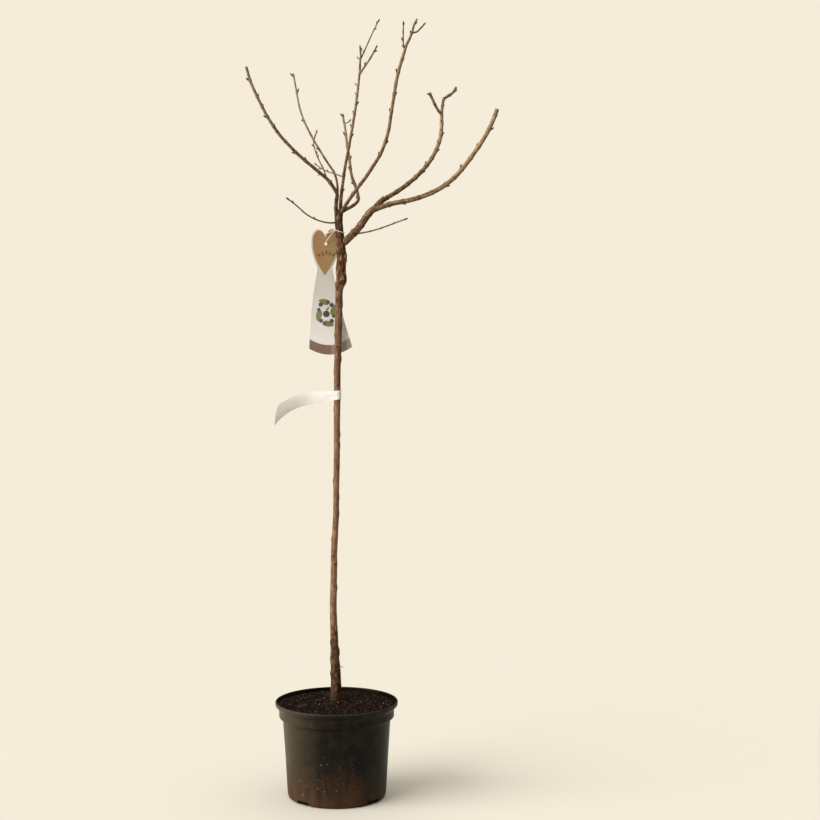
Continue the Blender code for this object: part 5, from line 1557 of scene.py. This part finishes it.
def printedCard(name, shades, run=None):
    # white polypropylene card, offset printed: flat ink with a soft sheen and a faint grain
    material, tree, shader = newMaterial(name, 0.42, IOR=1.49)
    place = addNode(tree, "ShaderNodeTexCoord").outputs["Object"]
    drawn = addNode(tree, "ShaderNodeMapping", {"Scale": (1, 1, 0.5)}, {"Vector": place})
    uneven = addNode(tree, "ShaderNodeTexNoise", {"Scale": 28, "Detail": 4, "Roughness": 0.55},
                     {"Vector": drawn})
    cloud = addNode(tree, "ShaderNodeMapRange", {"From Min": 0.35, "From Max": 0.65}, {"Value": uneven})
    if run:
        # the second shade lies to the right or the foot: along X or Z, from one place to the other
        axis, low, high = run
        across = addNode(tree, "ShaderNodeSeparateXYZ", None, {0: place}).outputs[axis]
        reach = addNode(tree, "ShaderNodeMapRange", {"From Min": low, "From Max": high}, {"Value": across})
        cloud = addNode(tree, "ShaderNodeMix", {"data_type": "RGBA", 0: 0.2}, {6: reach, 7: cloud}).outputs[2]
    stops = [(0, shades[0]), (1, shades[-1])]
    colour = addNode(tree, "ShaderNodeValToRGB", {"stops": stops}, {"Fac": cloud})
    grain = addNode(tree, "ShaderNodeTexNoise", {"Scale": 1800, "Detail": 1, "Roughness": 0.55},
                    {"Vector": place})
    endMaterial(tree, shader, colour, grain, 0.03 * mm, 0.4)
    return material


def knittedElastic():
    # knitted elastic thread: white, matt, with fine ribs round it
    material, tree, shader = newMaterial("knittedElastic", 0.7, IOR=1.5)
    place = addNode(tree, "ShaderNodeTexCoord").outputs["Object"]
    yarn = addNode(tree, "ShaderNodeTexNoise", {"Scale": 1400, "Detail": 2, "Roughness": 0.55},
                   {"Vector": place})
    ribs = addNode(tree, "ShaderNodeTexNoise", {"Scale": 2200, "Detail": 1, "Roughness": 0.55},
                   {"Vector": place})
    colour = addNode(tree, "ShaderNodeValToRGB", {"stops": [(0.3, "#c9c2b8"), (0.7, "#f1ece4")]},
                     {"Fac": yarn})
    endMaterial(tree, shader, colour, ribs, 0.1 * mm, 0.6)
    return material


def whiteFilm():
    # white film, blown thin: glossy in soft waves, with painted grey shade towards its tail, where it turns
    # from the light
    material, tree, shader = newMaterial("whiteFilm", 0.34, IOR=1.5)
    place = addNode(tree, "ShaderNodeTexCoord").outputs["Object"]
    tail = addNode(tree, "ShaderNodeAttribute", {"attribute_name": "tail"}).outputs["Fac"]
    # painted shade: greyer towards the tail
    stops = [(0.0, "#fdfdfd"), (0.34, "#ffffff"), (0.6, "#dcdad6"), (1.0, "#c2bfba")]
    shade = addNode(tree, "ShaderNodeValToRGB", {"stops": stops}, {"Fac": tail})
    slanted = addNode(tree, "ShaderNodeMapping", {"Rotation": (0, math.radians(38), 0)}, {"Vector": place})
    drawn = addNode(tree, "ShaderNodeMapping", {"Scale": (0.12, 1, 1)}, {"Vector": slanted})
    streaks = addNode(tree, "ShaderNodeTexNoise", {"Scale": 240, "Detail": 2, "Roughness": 0.55},
                      {"Vector": drawn})
    faint = addNode(tree, "ShaderNodeMapRange", {"From Min": 0.4, "From Max": 0.75, "To Max": 0.14},
                    {"Value": streaks})
    colour = addNode(tree, "ShaderNodeMix", {"data_type": "RGBA", 7: "#b4aa9a"},
                     {0: faint, 6: shade}).outputs[2]
    endMaterial(tree, shader, colour, streaks, 0.3 * mm, 0.4)
    return material


def makeTag():
    hole = discOutline(0, tag["holeHeight"], tag["holeRadius"], 24)
    card = cardSheet("tagCard", [cardOutline(), hole], tag["thickness"], 0, printedCard(
        "whiteCard", tag["card"], run=("Z", 0.93, 0.81)))
    finishPiece(card, "tag_card", "tag")
    face = tag["thickness"] / 2 + tag["ink"] / 2
    heartHole = discOutline(0, tag["holeHeight"], tag["holeRadius"] + 0.6 * mm, 24)
    # a plain wreath of leaves and round berries, and leaf sprays in the heart, stand for the printed picture
    ring = []
    berries = []
    centre = (tag["wreathAt"][0], tag["holeHeight"] + tag["wreathAt"][1])
    half, rise = tag["wreathSize"]
    for index in range(12):
        turn = math.radians(index * 30 + 12)
        x, y = centre[0] + half * math.cos(turn), centre[1] + rise * math.sin(turn)
        if index % 3 == 0:
            ring.append(leafOutline(x, y, tag["wreathLeaf"], math.degrees(turn) + 62, 0.5))
        else:
            berries.append(discOutline(x, y, tag["berries"][index % 3 - 1]))
    berries.append(discOutline(centre[0], centre[1] - 2 * mm, tag["berries"][2]))
    ring.append(leafOutline(centre[0] + 3 * mm, centre[1] + 7 * mm, tag["sprayLeaf"], 48, 0.4))
    sprays = []
    for index in range(5):
        x = (index - 2) * 6.5 * mm
        y = tag["holeHeight"] - (15 + 2.2 * abs(index - 2)) * mm
        sprays.append(leafOutline(x, y, tag["sprayLeaf"], 90 + (2 - index) * 22))
    prints = {
        "tagHeart": ([heartOutline(), heartHole], tag["field"], ("X", -0.035, -0.008)),
        # the band lightens to the right of the stem: partly print, partly painted light where the stem's
        # shadow falls
        "tagBand": ([bandOutline()], tag["bandInkAndLight"], ("X", -0.012, 0.004)),
        "tagLeaves": (ring, tag["leafInk"], None),
        "tagBerries": (berries, tag["berryInk"], None),
    }
    for name, (outlines, shades, run) in prints.items():
        lift = tag["ink"] if name == "tagBerries" else 0.0
        obj = cardSheet(name, outlines, tag["ink"], face + lift, printedCard(name + "Ink", shades, run=run))
        finishPiece(obj, "tag_card")
    lines = cardSheet("tagSprays", sprays, tag["ink"], face + tag["ink"],
                      printedCard("sprayInk", tag["lineInk"]))
    finishPiece(lines, "tag_card")


# Elastic loop that holds the card

loop = {
    "girth": 1.2 * mm,
    "height": 1004 * mm,        # where it lies round the stem
    "tilt": 2.5 * mm,
    "notchRise": 6 * mm,        # it passes this far over the heart's notch
    "room": 1.5 * mm,           # its play round the stem
    "arc": (205, 510, 12),      # the turns between which it touches the stem, and its steps there
    "perCorner": 7,
}


def makeTagLoop():
    rise = loop["height"] - stemFoot[2]
    sway, radius = stemAt(rise)
    back = stemBack(rise)
    radius += limbGap + loop["girth"] / 2 + loop["room"] / 2
    start, end, steps = loop["arc"]
    corners = []
    for index in range(steps + 1):
        angle = math.radians(start + (end - start) * index / steps)
        corners.append(Vector((sway + radius * math.cos(angle), back + radius * math.sin(angle),
                               loop["height"] - loop["tilt"] * math.cos(angle))))
    hole = tag["hole"]
    seat = tag["holeRadius"] - loop["girth"] / 2 - limbGap
    notch = Vector((hole.x, hole.y, hole.z + heartTop(0, 8)[-1][1] - tag["holeHeight"] + loop["notchRise"]))
    corners += [
        notch + Vector((3, -7, 1.5)) * mm, notch, notch + Vector((0, 2.6, -4)) * mm,
        hole + Vector((0, 2.6 * mm, seat + 4 * mm)), hole + Vector((0, 1.7 * mm, seat + 0.3 * mm)),
        hole + Vector((0, 0, seat - 0.1 * mm)), hole + Vector((0, -1.9 * mm, seat + 0.3 * mm)),
        hole + Vector((3, -6, 7)) * mm]
    curve = bpy.data.curves.new("tagLoop", "CURVE")
    curve.dimensions = "3D"
    curve.bevel_depth = loop["girth"] / 2
    curve.bevel_resolution = 3
    spline = curve.splines.new("POLY")
    spline.use_cyclic_u = True
    points = []
    for index in range(len(corners)):
        before, here, after, last = (corners[(index + k) % len(corners)] for k in (-1, 0, 1, 2))
        for part in range(loop["perCorner"]):
            t = part / loop["perCorner"]
            points.append(smoothAt(before, here, after, last, t))
    spline.points.add(len(points) - 1)
    for knot, point in zip(spline.points, points):
        knot.co = (*point, 1.0)
    mesh = curveMesh(curve)
    obj = bpy.data.objects.new("tagLoop", mesh)
    bpy.context.scene.collection.objects.link(obj)
    tidyNormals(obj)
    mesh.materials.clear()
    mesh.materials.append(knittedElastic())
    finishPiece(obj, "elastic", "tag_loop")


# Label: a film strip round the stem, its free end drooping to the left

label = {
    "height": 717 * mm,
    "widths": (16, 20, 21.5, 21.5),     # mm, from the wrap to the end of the tail
    "thickness": 0.5 * mm,              # in the CAD
    "film": 0.22 * mm,                  # as it is shown
    "wrap": 330,                        # degrees round the stem
    "tilt": 1.4 * mm,
    "tail": 118 * mm,                   # how far the free end reaches to the left
    "sag": 11.6 * mm,
    "curl": 34 * mm,                    # how far its end turns down beyond the sag
    "curlPower": 4,
    "swing": 14 * mm,                   # and how far it comes forward
    "slant": 0.18,                      # the end is cut at a slant
    "wrapSteps": 56,
    "tailSteps": 64,
    "across": 10,
    "crumple": 0.5 * mm,
    "creaseReach": 22 * mm,             # creased this far from the stem
}


def makeLabel():
    rise = label["height"] - stemFoot[2]
    sway, stemRadius = stemAt(rise)
    back = stemBack(rise)
    radius = stemRadius + 2 * limbGap + label["thickness"] / 2
    rows, tails = [], []
    sides = [2 * i / label["across"] - 1 for i in range(label["across"] + 1)]
    for index in range(label["wrapSteps"] + 1):
        angle = math.radians(270 + label["wrap"] * (1 - index / label["wrapSteps"]))
        height = label["height"] + label["tilt"] * math.cos(angle)
        row = []
        for side in sides:
            crease = noise.noise(Vector((angle * 2.2, side * 2.5, 4.0))) * label["crumple"] * 0.8
            reach = radius + abs(crease)
            row.append(Vector((sway + reach * math.cos(angle), back + reach * math.sin(angle),
                               height + side * label["widths"][0] / 2 * mm)))
        rows.append(row)
        tails += [0.0] * len(sides)
    for index in range(1, label["tailSteps"] + 1):
        row = []
        for side in sides:
            share = index / label["tailSteps"]
            share *= 1 - label["slant"] * (side + 1) / 2 * share ** 3
            power = label["curlPower"]
            drop = label["sag"] * share + label["curl"] * share ** power
            tilt = math.atan((label["sag"] + label["curl"] * power * share ** (power - 1)) / label["tail"])
            centre = Vector((sway - label["tail"] * share, back - radius - label["swing"] * share * share,
                             label["height"] - drop))
            half = side * spread(label["widths"], share) / 2 * mm
            point = centre + Vector((-math.sin(tilt), 0, math.cos(tilt))) * half
            # creased where it leaves the stem, and curved across its width further out
            near = math.exp(-share * label["tail"] / label["creaseReach"])
            fold = noise.noise(Vector((share * 9, side * 1.3, 8.0)))
            cup = label["crumple"] * 1.6 * (1 - near) * (side * side - 0.4)
            point.y += cup + fold * label["crumple"] * (0.5 + 1.6 * near)
            row.append(point)
            tails.append(share)
        rows.append(row)
    across = len(sides)
    faces = []
    for row in range(len(rows) - 1):
        for column in range(across - 1):
            a = row * across + column
            faces.append((a, a + across, a + across + 1, a + 1))
    obj = meshObject("stemLabel", [point for row in rows for point in row], faces, material=whiteFilm())
    setAttribute(obj, "tail", tails)
    obj.data.shade_smooth()
    solidify = obj.modifiers.new("film", "SOLIDIFY")
    solidify.thickness = label["film"]
    solidify.offset = 0.0
    mesh = bakedMesh(obj)
    obj.modifiers.clear()
    obj.data = mesh
    tidyNormals(obj)
    mesh.set_sharp_from_angle(angle=math.radians(50))
    finishPiece(obj, "label_film", "stem_label")


makeStudio()
makePot()
makeCompost()
layOutLimbs()
ageTrunk()
makeBarks()
makeBuds()
makeTag()
makeTagLoop()
makeLabel()

low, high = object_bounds()
cadBox, box = ([round(v / mm, 1) for v in (*a, *b)] for a, b in ((cadLow, cadHigh), (low, high)))
print("size: CAD", cadBox, "looks", box)
